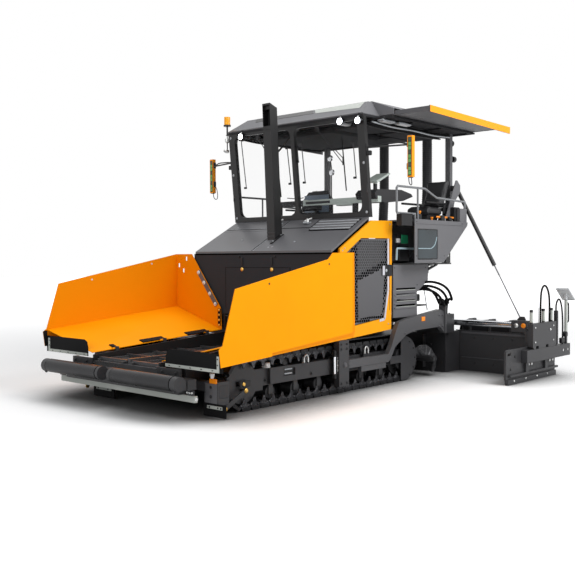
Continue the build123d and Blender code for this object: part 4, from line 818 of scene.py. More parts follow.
def extension_hoses(side, sign):
    """Three hoses along one extension, and their lengths."""
    lengths = []
    for i in range(3):
        s, rise = BUNDLE_STATION + BUNDLE_PITCH * i, BUNDLE_RISE * i
        deck = touch(f"extension_{side}", (sign * 1.8, s, 0.9), DOWN)[0].z
        route = [(x, s + sway, deck + (lift + rise * share)) for x, sway, lift, share in BUNDLE]
        lengths.append(cable(f"extension_hose_{i + 1}_{side}", mirrored(route, sign), THIN_HOSE,
                             f"extension_{side}", rubber))
    return lengths


# %% [markdown]
# ## Loops at the gates and the signal bars
# Each end gate has a tall loop of hose on its box and a lead that bows out of a sleeve behind it. Under each
# signal bar hangs a thin loop of cable. All of them stay on one body, so a plain curve with a round bevel does.

# %% Loops
SIGNAL_LOOP = [(1.82, 3.29, 2.69), (1.82, 3.295, 2.65), (1.818, 3.31, 2.60), (1.79, 3.33, 2.585),
               (1.762, 3.33, 2.61), (1.758, 3.325, 2.68), (1.768, 3.315, 2.76), (1.79, 3.305, 2.79)]


def loops(side, sign):
    """The signal bar's cable and the end gate's hose and lead on one side, and their lengths."""
    feet = [touch("end_gate_left", (2.565, s, 1.6), DOWN)[0].z for s in (5.34, 5.62)]
    hose = [(2.565, 5.34, feet[0]), (2.565, 5.34, 1.06), (2.57, 5.36, 1.24), (2.575, 5.45, 1.30),
            (2.575, 5.56, 1.22), (2.57, 5.62, 1.05), (2.565, 5.62, feet[1])]
    feet = [touch("end_gate_left", (2.57, s, 0.7), DOWN)[0].z for s in (5.82, 6.04)]
    lead = [(2.57, 5.82, feet[0]), (2.57, 5.82, 0.90), (2.57, 5.825, 1.03), (2.57, 5.93, 1.10),
            (2.57, 6.02, 0.96), (2.57, 6.05, 0.70), (2.57, 6.04, 0.52), (2.57, 6.04, feet[1])]
    return [cable(f"signal_cable_{side}", mirrored(SIGNAL_LOOP, sign), CABLE, "tractor", plastic),
            cable(f"gate_hose_{side}", mirrored(hose, sign), THIN_HOSE, f"extension_{side}", rubber),
            cable(f"gate_lead_{side}", mirrored(lead, sign), LEAD, f"extension_{side}", rubber)]


hose_lengths = []
for side, sign in SIDES:
    hose_lengths += screed_hoses(side, sign) + extension_hoses(side, sign) + loops(side, sign)
print("hoses:", len(hose_lengths), "lengths from", round(min(hose_lengths), 2), "to",
      round(max(hose_lengths), 2), "m")

# %% [markdown]
# ## Seat covers
# Each seat has a thick cushion and a high back in black vinyl. Foam under a tight cover crowns in the middle and
# pulls in at its seams, which no box with round corners shows. So each pad starts a little small, is remeshed
# into even faces and is blown up by the cloth solver, which finds the crown by itself.

# %% Pad helpers
PRESSURE, BLOWN_FRAME = 4.0, 20


def pad_mesh(outline, half, pinch):
    """A pad from its side outline (s, z): middle full width, ends drawn in."""
    bm = bmesh.new()
    rings = []
    middle_s = sum(p[0] for p in outline) / len(outline)
    middle_z = sum(p[1] for p in outline) / len(outline)
    for x, shrink in ((-half, pinch), (-half * 0.93, 0.0), (0, 0.0), (half * 0.93, 0.0), (half, pinch)):
        rings.append([bm.verts.new((x, s + (middle_s - s) * shrink, z + (middle_z - z) * shrink))
                      for s, z in outline])
    count = len(outline)
    for a, b in zip(rings, rings[1:]):
        for i in range(count):
            bm.faces.new((a[i], a[(i + 1) % count], b[(i + 1) % count], b[i]))
    bm.faces.new(rings[0][::-1])
    bm.faces.new(rings[-1])
    bmesh.ops.recalc_face_normals(bm, faces=bm.faces[:])
    return bm


def padded_piece(name, outline, half, middle_x, pinch=0.25, voxel=0.009, cap=0.022):
    """A cushion blown up from its outline, then capped and smoothed."""
    bm = pad_mesh(outline, half, pinch)
    for v in bm.verts:
        v.co.x += middle_x
        v.co.y += ZERO
    mesh = bpy.data.meshes.new(name)
    bm.to_mesh(mesh)
    bm.free()
    piece = bpy.data.objects.new(name, mesh)
    bpy.context.scene.collection.objects.link(piece)
    mesh.materials.append(vinyl)
    bpy.context.view_layer.objects.active = piece
    remesh = piece.modifiers.new("even", "REMESH")
    remesh.mode = "VOXEL"
    remesh.voxel_size = voxel
    graph = bpy.context.evaluated_depsgraph_get()
    even = bpy.data.meshes.new_from_object(piece.evaluated_get(graph))
    piece.modifiers.clear()
    piece.data = even
    start = [v.co.copy() for v in even.vertices]
    cloth = piece.modifiers.new("blow", "CLOTH")
    cloth.settings.use_pressure = True
    cloth.settings.uniform_pressure_force = PRESSURE
    cloth.settings.effector_weights.gravity = 0
    cloth.settings.quality = 5
    for number in range(1, BLOWN_FRAME + 1):
        bpy.context.scene.frame_set(number)
    blown = bpy.data.meshes.new_from_object(piece.evaluated_get(bpy.context.evaluated_depsgraph_get()))
    bpy.context.scene.frame_set(1)
    piece.modifiers.clear()
    for v, old in zip(even.vertices, start):
        move = blown.vertices[v.index].co - old
        v.co = old + (move if move.length < cap else move.normalized() * cap)
    for polygon in piece.data.polygons:
        polygon.use_smooth = True
    soft = piece.modifiers.new("soft", "SMOOTH")
    soft.factor, soft.iterations = 0.5, 4
    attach(piece, "tractor")
    return piece


# %% [markdown]
# ## The two seats
# A seat is a cushion, a high back and a small bolster between them, on a shell of hard plastic with two
# armrests. Together they take the place of the plain seats that came with the steelwork.

# %% Seats
SEAT_Z = 2.19
SEATS = {"left": 1.12, "right": -1.12}
PADS = {  # side outline as (station, height over the pedestal), half width, fill
    "cushion": ([(4.46, 0.135), (4.48, 0.108), (4.88, 0.108), (4.885, 0.175), (4.52, 0.19), (4.47, 0.172)],
                0.19, 0.7),
    "back": ([(4.862, 0.205), (4.905, 0.18), (5.005, 0.40), (5.075, 0.59), (5.06, 0.612), (5.01, 0.60),
              (4.955, 0.42)], 0.185, 0.7),
    "bolster": ([(4.845, 0.215), (4.872, 0.205), (4.918, 0.33), (4.895, 0.345)], 0.15, 0.5),
}
for side, middle in SEATS.items():
    seat_pieces = []
    for part, (outline, half, fill) in PADS.items():
        outline = [(s, SEAT_Z + z) for s, z in outline]
        seat_pieces.append(padded_piece(f"seat_{part}_{side}", outline, half, middle))
    shell = Work()
    shell.box(middle - 0.15, middle + 0.15, 4.53, 4.86, SEAT_Z + 0.001, SEAT_Z + 0.1, plastic, 0.02)
    for x in (middle - 0.236, middle + 0.15):
        shell.box(x, x + 0.048, 4.42, 4.94, SEAT_Z + 0.243, SEAT_Z + 0.272, plastic, 0.012)
        shell.box(x + 0.008, x + 0.04, 4.88, 4.94, SEAT_Z + 0.11, SEAT_Z + 0.25, plastic, 0.008)
    shell.box(middle - 0.2, middle + 0.16, 4.892, 4.935, SEAT_Z + 0.15, SEAT_Z + 0.2, plastic, 0.008)
    shell.tube([(middle - 0.19, 4.60, SEAT_Z + 0.05), (middle - 0.19, 4.50, SEAT_Z + 0.05)], 0.008, reflector, 8)
    seat_pieces.append(shell.made(f"seat_shell_{side}", "tractor", "plastic"))
    for piece in seat_pieces:
        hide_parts("seats")
print("seats dressed:", len(SEATS))

# %% [markdown]
# ## The hopper's fittings
# The wings carry little: bolts in their outer plates, a clamping bar with yellow bolts down the rear wall's inner
# edge, black rubber laps where the floor folds, and bolts through the strips that hold the front flaps. On the
# right wing the two discs in the outer plate are white: painted light, the white backdrop seen through holes.

# %% Wing fittings
for side, sign in SIDES:
    wing = f"wing_{side}"
    work = Work()
    # on the right wing these discs are white: painted light where holes show the white backdrop
    for s, z in ((0.92, 1.407), (1.92, 1.607)):        # plugs in the outer plate
        work.turned((sign * 1.609, s, z), (sign, 0, 0), [(0, 0.0125), (0.009, 0.0125), (0.0105, 0.009)],
                    plastic if sign > 0 else white_plastic, 12)
    top, up = touch(wing, (sign * 1.145, 1.6, 1.50), TO_REAR)
    low = touch(wing, (sign * 0.775, 1.6, 1.03), TO_REAR)[0]
    work.strip(low, top, up, 0.06, 0.014, grey)
    for t in (0.04, 0.34, 0.66, 0.96):
        work.bolt(low.lerp(top, t) + up * 0.013, up, 0.018, white_plastic)
    work.strip((sign * 0.722, low.y, 0.75), (sign * 0.722, low.y, 0.985), up, 0.05, 0.008, rubber)
    for z in (0.76, 0.83, 0.90, 0.965):
        work.bolt((sign * 0.722, low.y - 0.008, z), up, 0.012, brass)
    for first_s, last_s in ((0.56, 0.62), (1.02, 1.37), (1.76, 2.12)):      # laps over the fold line
        ends = []
        for s in (first_s, last_s):
            near, up = touch(wing, (sign * 0.77, s, 1.4), DOWN)
            further = touch(wing, (sign * 0.81, s, 1.4), DOWN)[0]
            ends.append(near + (near - further) * 1.6)
        work.strip(*ends, up, 0.085, 0.012, rubber)
    work.made(f"wing_fittings_{side}", wing, "black_rubber")

    flap = Work()
    for i in range(5):
        x = sign * (0.79 + 0.17 * i)
        flap.box(x - 0.012, x + 0.012, 0.2302, 0.2325, 0.534, 0.544, plastic, 0.001)
    for z in (0.60, 0.66):
        flap.turned((sign * 1.547, 0.2325, z), TO_FRONT, [(0, 0.009), (0.003, 0.008)], plastic, 12)
    flap.made(f"flap_bolts_{side}", wing, "steel")

# %% [markdown]
# ## The wall behind the hopper
# The bulkhead is one sheet with a folded panel in it, so a thin seam runs round the panel. Two catches with
# yellow knobs stand on it, and a black strip under the hood's front edge is painted shade in the gap there.

# %% Bulkhead fittings
front = Work()
for x in (-0.30, 0.25):
    place, up = touch("bulkhead", (x, 2.0, 1.53), TO_REAR)
    front.turned(place, up, [(0, 0.026), (0.008, 0.026), (0.014, 0.016)], brass, 16)
    place, up = touch("bulkhead", (x, 2.0, 1.64), TO_REAR)
    front.box(x - 0.016, x + 0.016, place.y - 0.014, place.y + 0.001, 1.585, 1.69, plastic, 0.004)
    front.bolt((x + (0.055 if x > 0 else -0.055), place.y, 1.70), up, 0.014, plastic)
panel_edge = [(x, 2.0, z) for x, z in ((-0.624, 0.99), (-0.624, 1.556), (0.566, 1.556), (0.566, 0.99))]
seams(front, "bulkhead", list(zip(panel_edge, panel_edge[1:])), TO_REAR, 0.006, 0.0015, rubber)
# painted shade: a black strip in the gap under the hood's front edge
front.strip((-1.24, 2.411, 1.737), (1.24, 2.411, 1.737), TO_FRONT, 0.018, 0.004, gap_and_shade_black)
front.made("bulkhead_fittings", "tractor", "dark_paint")
print("hopper fittings made")

# %% [markdown]
# ## The hood
# The sloping hood is three covers, so thin dark seams cross it, with pale lines beside them that are painted
# highlights on the folded edges. The louvres are black strips of painted shade for their slots, with a pale
# line of painted highlight on each folded lip, each laid on the slope where a line from above meets it.

# %% Hood fittings
hood = Work()
seams(hood, "hood", [((-0.13, 2.42, 3), (-0.13, 3.19, 3)), ((-1.20, 2.99, 3), (-0.14, 2.99, 3)),
                     ((-0.12, 2.985, 3), (0.42, 2.985, 3)), ((0.42, 2.99, 3), (0.42, 3.19, 3))],
      DOWN, 0.014, 0.0008, gap_and_shade_black)
# pale lines beside the seams: painted highlights on the folded edges
seams(hood, "hood", [((-0.114, 2.42, 3), (-0.114, 3.18, 3)), ((-1.20, 3.001, 3), (-0.14, 3.001, 3))],
      DOWN, 0.007, 0.0016, silver)
bolts(hood, "hood", [(0.45, 2.63, 3), (-0.59, 2.70, 3), (-1.02, 3.05, 3), (0.10, 2.50, 3), (0.16, 2.515, 3)],
      DOWN, 0.009, silver)
for x in (0.27, -0.26):          # latches
    place = touch("hood", (x, 3.10, 3), DOWN)[0]
    hood.box(x - 0.05, x + 0.05, place.y - 0.05, place.y + 0.05, place.z - 0.01, place.z + 0.022, silver, 0.012)
    hood.rod((x - 0.03, place.y - 0.03, place.z + 0.03), (x + 0.035, place.y + 0.05, place.z + 0.07), 0.012, zinc)
    hood.turned((x, place.y, place.z + 0.02), UP, [(0, 0.02), (0.035, 0.016), (0.045, 0.008)], zinc, 14)
LOUVRE_X, LOUVRE_HALF, LOUVRE_PITCH = 0.80, 0.335, 0.0615
(a, up), b = touch("hood", (0.446, 2.915, 3), DOWN), touch("hood", (0.446, 3.165, 3), DOWN)[0]
# a black sheet under the louvres: painted shade in their openings
hood.strip(a + Vector((0.35, 0, 0)), b + Vector((0.35, 0, 0)), up, 0.70, 0.002, gap_and_shade_black)
# each louvre: a pale lip that is a painted highlight, between two black strips of painted shade
for i in range(4):
    s = 2.925 + LOUVRE_PITCH * i
    for step, width, height, coat in ((0, 0.010, 0.0012, silver), (-0.022, 0.026, 0.003, gap_and_shade_black),
                                      (0.024, 0.026, 0.003, gap_and_shade_black)):
        place, up = touch("hood", (LOUVRE_X, s + step, 3), DOWN)
        hood.strip(place + Vector((-LOUVRE_HALF, 0, 0.001)), place + Vector((LOUVRE_HALF, 0, 0.001)), up, width,
                   height, coat)
hood.made("hood_fittings", "tractor", "grey_paint")

# %% [markdown]
# ## The exhaust
# The square exhaust has a lip under its mouth and two clamps near its foot, and one bracket holds it to the
# hood. They are flat bars that lie on its front face, so a bar from one place to another is all they need.

# %% Exhaust fittings
stack = Work()
mouth, up = touch("exhaust_stack", (-0.025, 2.0, 3.40), TO_REAR)
stack.strip((-0.088, mouth.y - 0.002, mouth.z), (0.038, mouth.y - 0.002, mouth.z), up, 0.008, 0.006, black_paint)
for z in (1.975, 2.02):
    place, out = touch("exhaust_stack", (-0.025, 2.0, z), TO_REAR)
    stack.strip((-0.098, place.y, place.z), (0.048, place.y, place.z), out, 0.012, 0.004, charcoal)
BRACKET_X = 0.075
place, up = touch("hood", (BRACKET_X, 2.70, 3), DOWN)
stack.strip((BRACKET_X, 2.58, place.z - 0.06), (BRACKET_X, 2.82, place.z + 0.064), up, 0.03, 0.012, black_paint)
for s, rise in ((2.62, -0.038), (2.78, 0.048)):
    stack.bolt((BRACKET_X, s, place.z + rise + 0.012), up, 0.008, silver)
stack.made("exhaust_fittings", "tractor", "dark_paint")

# %% [markdown]
# ## Push rollers
# The rollers push against a lorry's wheels. Each end shows a recessed cap with a ring of six bolts; a profile
# turned on the axis draws the recess, since the radius may go in and out again along it.

# %% Push rollers
HUB = [(0, 0.066), (0.004, 0.066), (0.006, 0.058), (0.003, 0.056), (0.003, 0.022), (0.014, 0.02), (0.016, 0.012)]
ROLLER_Z, BOLT_RING_R = 0.40, 0.040
for side, sign in SIDES:
    roller = Work()
    for x, way in ((1.1552, 1), (0.1348, -1)):
        roller.turned((sign * x, 0, ROLLER_Z), (sign * way, 0, 0), HUB, roller_steel, 28)
        for k in range(6):
            a = 2 * pi * k / 6
            roller.turned((sign * x, BOLT_RING_R * cos(a), ROLLER_Z + BOLT_RING_R * sin(a)), (sign * way, 0, 0),
                          [(0, 0.006), (0.007, 0.006), (0.008, 0.004)], plastic, 6)
    roller.made(f"roller_hub_{side}", f"push_roller_{side}", "dark_paint")

# %% [markdown]
# ## Front corners
# At each front corner sit a small plate with a reflector, a round marker and a cover; the push beam carries
# bolts and a row of bright pins. The left corner is drawn once and mirrored.

# %% Front corners
corner = Work()
corner.box(1.12, 1.30, 0.446, 0.4515, 0.15, 0.36, grey, 0.004)
corner.box(1.20, 1.31, 0.43, 0.4485, 0.362, 0.415, reflector, 0.006)
corner.turned((1.24, 0.44, 0.417), UP, [(0, 0.018), (0.02, 0.02), (0.03, 0.026), (0.05, 0.026), (0.056, 0.018)],
              white_plastic, 18)
corner.box(1.305, 1.3135, 0.47, 0.60, 0.20, 0.34, charcoal, 0.003)
for z in (0.22, 0.32):
    corner.bolt((1.21, 0.446, z), TO_FRONT, 0.012, charcoal)
corner.both("corner_fittings", "tractor", "dark_paint")

beam = Work()
bolts(beam, "push_beam", [(1.19, -1.0, 0.33), (0.70, -1.0, 0.47), (0.93, -1.0, 0.47)], TO_REAR, 0.014, charcoal)
for x in (1.150, 1.185, 1.22):
    beam.turned((x, 0.178, 0.292), TO_FRONT, [(0, 0.012), (0.012, 0.012), (0.014, 0.007)], zinc, 10)
beam.box(1.13, 1.236, 0.180, 0.20, 0.262, 0.318, charcoal, 0.004)
beam.turned((1.234, 0.219, 0.221), TO_LEFT, [(0, 0.018), (0.008, 0.018), (0.010, 0.012)], white_plastic, 16)
beam.both("beam_fittings", "tractor", "steel")

mud_flap = Work()
for x in (1.155, 1.20, 1.33, 1.375, -0.80, -0.60):
    mud_flap.turned((x, 0.4345, 0.113), TO_FRONT, [(0, 0.011), (0.002, 0.011), (0.0035, 0.008)], plastic, 10)
mud_flap.made("mud_flap_bolts", "tractor", "steel")
print("front end dressed")

# %% [markdown]
# ## Mesh of the side doors
# The doors are half honeycomb mesh, half sheet, and the cells are far finer than real holes could be drawn. So a
# thin grey plate lies on the door and each cell is one dark hexagon just off it: the grey left between them is
# the mesh, and the dark of each cell is painted shade in its hole, charcoal over the upper sheet and black
# elsewhere. A cell is laid only where its middle is inside the door's outline and off the smooth sheet.

# %% Side door mesh
def inside(outline, s, z):
    """Whether a place lies inside an outline of (s, z)."""
    hit = False
    for (s0, z0), (s1, z1) in zip(outline, outline[1:] + outline[:1]):
        if (z0 > z) != (z1 > z) and s < (s1 - s0) * (z - z0) / (z1 - z0) + s0:
            hit = not hit
    return hit


DOOR = [(2.72, 1.72), (3.01, 1.905), (3.565, 1.91), (3.565, 1.255), (3.475, 0.90), (2.72, 0.82)]
UPPER_SHEET = [(2.99, 1.89), (3.52, 1.89), (3.52, 1.64), (2.93, 1.46), (2.93, 1.82)]
SMOOTH = [(2.93, 1.38), (3.50, 1.54), (3.46, 0.94), (2.95, 0.90)]
CELL, ROW, CELL_R = 0.046, 0.034, 0.0225
MESH_LOW, MESH_TOP, CELLS_IN_ROW = 0.82, 1.92, 19
FIRST_CELL = (2.735, 0.835)
FACE = 1.2462                # |x| of the door's outer face


def hexagon(s, z, size):
    """Corners (s, z) of one cell, a little flatter than it is wide."""
    return [(s + size * cos(radians(60 * k + 30)), z + size * 0.86 * sin(radians(60 * k + 30))) for k in range(6)]


door = Work()
door.plate(DOOR, "x", FACE, FACE + 0.0006, grey)
door.plate(SMOOTH, "x", FACE, FACE + 0.004, slate, 0.0015)
cells = 0
for j in range(int((MESH_TOP - MESH_LOW) / ROW)):
    z = FIRST_CELL[1] + ROW * j
    for i in range(CELLS_IN_ROW):
        s = FIRST_CELL[0] + CELL * (i + 0.5 * (j % 2))
        if not inside(DOOR, s, z) or inside(SMOOTH, s, z):
            continue
        # the cells' dark is painted shade in the mesh's holes
        hole_shade = charcoal if inside(UPPER_SHEET, s, z) else gap_and_shade_black
        door.add([(FACE + 0.0013, a, b) for a, b in hexagon(s, z, CELL_R)], [(0, 1, 2, 3, 4, 5)], hole_shade)
        cells += 1
door.plate([(2.72, 1.72), (3.01, 1.905), (3.01, 1.895), (2.73, 1.713)], "x", FACE, FACE + 0.004, rubber)
door.both("door_mesh", "side_door_{side}", "dark_paint")
print("mesh cells a door:", cells)

# %% [markdown]
# ## Latch and seal
# The latch rides on the door, while the pale seal stays on the frame behind it when the door swings. So they
# are two pieces on two bodies. The seal is three flat bars end to end along the rear edge of the opening.

# %% Latch and seal
latch = Work()
latch.plate([(3.452, 1.447), (3.503, 1.447), (3.503, 1.573), (3.452, 1.573)], "x", 1.2635, 1.2662, seal_grey,
            0.002)
latch.box(1.2635, 1.268, 3.503, 3.563, 1.447, 1.573, plastic, 0.006)
latch.turned((1.2675, 3.53, 1.51), TO_LEFT, [(0, 0.022), (0.004, 0.02), (0.005, 0.012)], silver, 16)
latch.both("door_latch", "side_door_{side}", "steel")

seal = Work()
seal_line = [(1.2503, 3.592, 1.93), (1.2503, 3.592, 1.245), (1.2503, 3.512, 0.87), (1.2503, 3.40, 0.855)]
for a, b in zip(seal_line, seal_line[1:]):
    seal.strip(a, b, TO_LEFT, 0.036, 0.005, seal_grey)
seal.box(1.2495, 1.268, 3.570, 3.660, 1.435, 1.585, plastic, 0.010)
seal.strip((1.2503, 3.628, 1.93), (1.2503, 3.628, 0.98), TO_LEFT, 0.006, 0.002, plastic)
for s, z in ((2.63, 1.77), (2.67, 1.80), (2.62, 0.76), (3.60, 0.80), (3.64, 2.12)):
    seal.bolt((1.25, s, z), TO_LEFT, 0.007, silver)
seal.both("door_seal", "tractor", "steel")

# %% [markdown]
# ## Side panels
# The fixed panel behind each door has four louvres: black strips of painted shade for the slots, each with a
# pale lip under it that is a painted highlight. Behind it, under the console, stand white filler caps on black
# blocks and a few pipes.

# %% Side panels
panel = Work()
LOUVRES_LOW, PANEL_LOUVRE_PITCH = 1.03, 0.075
LIP_DROP = Vector((0, 0, 0.017))
# louvres: black strips of painted shade for the slots, and pale lips that are painted highlights
for i in range(4):
    z = LOUVRES_LOW + PANEL_LOUVRE_PITCH * i
    a, b = [touch("side_panels", (1.6, s, z), TO_RIGHT)[0] for s in (3.78, 4.24)]
    panel.strip(a, b, TO_LEFT, 0.024, 0.0015, gap_and_shade_black)
    panel.strip(a - LIP_DROP, b - LIP_DROP, TO_LEFT, 0.008, 0.002, pale_grey)
bolts(panel, "side_panels", [(1.6, 3.74, 1.54), (1.6, 3.74, 1.0), (1.6, 4.50, 1.54), (1.6, 4.28, 1.30)], TO_RIGHT,
      0.007, plastic, False)
FILLER_CAPS = [(4.62, 1.54, 0.026), (4.70, 1.60, 0.02), (4.52, 1.41, 0.024), (4.60, 1.45, 0.014),
               (4.80, 1.58, 0.022), (4.90, 1.62, 0.016)]      # station, height, radius
for s, z, r in FILLER_CAPS:
    panel.turned((1.14, s, z), TO_LEFT, [(0, r), (0.03, r), (0.034, r * 0.8), (0.05, r * 0.7), (0.052, r * 0.3)],
                 white_plastic, 16)
    panel.box(1.10, 1.142, s - 0.03, s + 0.03, z - 0.02, z + 0.06, plastic, 0.004)
panel.tube([(1.13, 4.50, 1.34), (1.13, 4.62, 1.46), (1.13, 4.78, 1.52), (1.13, 4.98, 1.58)], 0.02, charcoal, 8, 0.05)
panel.tube([(1.16, 4.52, 1.32), (1.16, 4.60, 1.22), (1.16, 4.66, 1.0), (1.16, 4.68, 0.93)], 0.007, silver, 6, 0.05)
panel.box(0.94, 1.12, 4.36, 4.56, 1.06, 1.16, plastic, 0.01)
panel.both("panel_fittings", "tractor", "dark_paint")

# %% [markdown]
# ## Side consoles
# A large window in each console looks onto the machinery, with a pale handrail inside it. The top carries black
# boxes and orange levers, and a blank green plate stands at the steps.

# %% Consoles
console = Work()
OUTSIDE = 1.4772             # |x| of a console's outer face
window = [(3.96, 1.66), (3.96, 2.06), (4.44, 2.06), (4.44, 1.66)]
teal = display("console_window", srgb(24, 31, 34), srgb(52, 64, 70), 0.1)
console.plate(window, "x", OUTSIDE - 0.001, OUTSIDE + 0.0005, teal, 0.0)
for a, b in zip(window, window[1:] + window[:1]):
    console.strip((OUTSIDE, *a), (OUTSIDE, *b), TO_LEFT, 0.012, 0.003, plastic)
console.strip((OUTSIDE, 3.92, 2.13), (OUTSIDE, 5.12, 2.13), TO_LEFT, 0.004, 0.0008, black_paint)
console.tube([(1.31, 3.70, 1.646), (1.31, 3.71, 1.79), (1.31, 3.72, 1.802), (1.31, 4.54, 1.801), (1.31, 4.60, 1.83),
              (1.31, 4.674, 1.937)], 0.014, blue_grey, 10, 0.05)
console.box(1.19, 1.205, 3.98, 4.13, 1.87, 1.99, green_sign, 0.004)
console.box(1.18, 1.21, 3.86, 3.94, 1.88, 1.94, white_plastic, 0.006)
BLACK_BOXES = [  # two under the console, four on its top
    (0.94, 1.19, 3.72, 3.90, 1.62, 2.0), (0.98, 1.18, 3.95, 4.2, 1.62, 1.84),
    (1.30, 1.42, 4.64, 4.74, 2.19, 2.27), (1.33, 1.43, 4.84, 4.92, 2.19, 2.25),
    (1.20, 1.42, 5.0, 5.14, 2.19, 2.40), (1.36, 1.44, 4.02, 4.12, 2.19, 2.27),
]
for limits in BLACK_BOXES:
    console.box(*limits, plastic, 0.012)
for s, lean in ((4.56, 0.02), (4.77, 0.0), (4.96, -0.02)):
    console.rod((1.40, s, 2.19), (1.40, s + lean, 2.235), 0.006, zinc, 8)
    console.box(1.39, 1.412, s + lean - 0.045, s + lean + 0.045, 2.232, 2.258, reflector, 0.008)
for s, z in ((4.42, 2.215), (4.12, 2.29)):
    console.turned((1.40, s, z - 0.025), UP, [(0, 0.012), (0.02, 0.012), (0.03, 0.02), (0.045, 0.02), (0.05, 0.012)],
                   reflector, 14)
console.tube([(1.477, 3.965, 1.80), (1.477, 4.30, 1.80), (1.477, 4.39, 1.86), (1.477, 4.425, 1.96)], 0.007,
             blue_grey, 8, 0.06)
console.box(1.17, 1.245, 5.04, 5.17, 1.601, 1.80, black_paint, 0.004)
console.turned((1.245, 5.10, 1.71), TO_LEFT, [(0, 0.02), (0.004, 0.02), (0.006, 0.012)], zinc, 16)
for s, z in ((3.93, 2.16), (5.10, 2.16), (3.93, 1.70), (4.62, 1.70)):
    console.bolt((OUTSIDE, s, z), TO_LEFT, 0.006, plastic, False)
console.both("console_fittings", "tractor", "grey_paint")
print("sides dressed")

# %% [markdown]
# ## Windscreen and wipers
# Thin rods with black knobs hang behind the glass and carry the sun blinds. Two long wiper blades lie on the
# panes, each on a double arm from above. The screen leans forwards, so one function turns x and height into a
# place on its front face, and everything here is placed through it.

# %% Windscreen fittings
SCREEN_FOOT = (3.202, 2.205)             # station and height of its lower edge
SCREEN_LEAN = -0.132 / 1.295             # station gained for each metre of height
BEHIND_GLASS = -0.045
BLIND_RODS = [  # x and height of both ends, length of the hook at the top
    (-1.03, 3.382, -1.00, 2.71, 0.09), (-0.142, 3.208, -0.118, 2.717, 0), (0.127, 3.247, 0.147, 2.717, 0.12),
    (0.045, 3.208, 0.051, 3.007, 0), (1.015, 3.182, 1.028, 2.725, 0),
]
WIPERS = [(-0.294, 3.221, -0.265, 2.537, -0.36), (0.882, 3.238, 0.901, 2.557, -0.43)]     # and the arm's reach


def screen(x, z, off=0.0):
    """A place on the screen's front face, or ahead of it by off."""
    return (x, SCREEN_FOOT[0] + (z - SCREEN_FOOT[1]) * SCREEN_LEAN - off, z)


screen_work = Work()
for x0, z0, x1, z1, hook in BLIND_RODS:
    rod = [screen(x0, z0, BEHIND_GLASS), screen(x1, z1, BEHIND_GLASS)]
    if hook:
        rod = [screen(x0 + hook * share, z0 + 0.05, BEHIND_GLASS) for share in (1.4, 0.3)] + rod
    screen_work.tube(rod, 0.0065, charcoal, 8, 0.04)
    a, b, c = rod[-1]
    screen_work.box(a - 0.042, a + 0.006, b - 0.012, b + 0.012, c - 0.014, c + 0.014, plastic, 0.005)
    if z0 < 3.3:
        a, b, c = rod[-2]
        screen_work.box(a - 0.03, a + 0.01, b - 0.012, b + 0.012, c - 0.014, c + 0.014, plastic, 0.005)
for x0, z0, x1, z1, arm in WIPERS:
    top, low = Vector(screen(x0, z0, 0.012)), Vector(screen(x1, z1, 0.012))
    screen_work.strip(low, top, (0, -1, -0.1), 0.012, 0.010, rubber)
    middle = top.lerp(low, 0.38)
    for k in (0, 1):
        pivot = Vector(screen(x0 + arm + 0.035 * k, 3.40 - 0.02 * k, 0.02))
        end = middle + Vector((0, -0.012, -0.07 * k))
        screen_work.rod(pivot, end, 0.0055, plastic, 8)
    pivot = Vector(screen(x0 + arm + 0.018, 3.40, 0.0))
    screen_work.box(pivot.x - 0.035, pivot.x + 0.035, pivot.y - 0.03, pivot.y + 0.004, 3.37, 3.43, plastic, 0.01)
    screen_work.box(middle.x - 0.01, middle.x + 0.01, middle.y - 0.022, middle.y, middle.z - 0.09, middle.z + 0.02,
                    plastic, 0.004)
for side in (-1, 1):
    for x, z in ((1.20, 2.27), (1.20, 3.44), (1.20, 2.9)):
        screen_work.bolt(screen(side * x, z), TO_FRONT, 0.012, silver)
    screen_work.box(*sorted((side * 1.222, side * 1.2415)), 3.158, 3.20, 2.52, 2.66, charcoal, 0.005)
screen_work.rod(screen(-0.35, 3.18, -0.08), screen(0.06, 3.46, -0.08), 0.014, plastic, 8)
screen_work.tube([screen(-0.20, 2.52, -0.04), screen(-0.02, 2.50, -0.04), screen(0.10, 2.51, -0.04)], 0.006,
                 plastic, 8, 0.04)
screen_work.made("screen_fittings", "tractor", "plastic")

# %% [markdown]
# ## Lamps
# Each lamp is turned twice on one axis: a black housing, and a lens that bulges ahead of it. The three under the
# nose are lit. A bright one hangs at the far corner, and two with chromed faces stand at the rear post.

# %% Lamps
lights = Work()
for x, z in ((-0.95, 3.435), (0.885, 3.45), (1.175, 3.43)):
    lights.turned((x, 3.068, z), TO_FRONT, [(0, 0.02), (0.008, 0.042), (0.034, 0.046), (0.038, 0.044)], plastic, 20)
    lights.turned((x, 3.031, z), TO_FRONT, [(0, 0.041), (0.006, 0.040), (0.012, 0.030), (0.014, 0.01)], lit_lamp, 20)
    lights.box(x - 0.012, x + 0.012, 3.056, 3.072, z + 0.02, 3.53, plastic, 0.003)
    lights.turned((x, 3.05, z + 0.043), UP, [(0, 0.010), (0.01, 0.014), (0.02, 0.008)], zinc, 12)
lights.turned((-1.405, 3.202, 3.40), UP, [(0, 0.012), (0.02, 0.034), (0.06, 0.038), (0.07, 0.03), (0.08, 0.012)], zinc,
              18)
lights.rod((-1.405, 3.202, 3.47), (-1.405, 3.202, 3.515), 0.014, zinc)
lights.turned((-1.405, 3.19, 3.30), (0, -0.4, -1), [(0, 0.012), (0.004, 0.04), (0.03, 0.046), (0.034, 0.04)], zinc, 18)
lights.rod((-1.405, 3.202, 3.28), (-1.405, 3.202, 3.41), 0.008, plastic, 8)
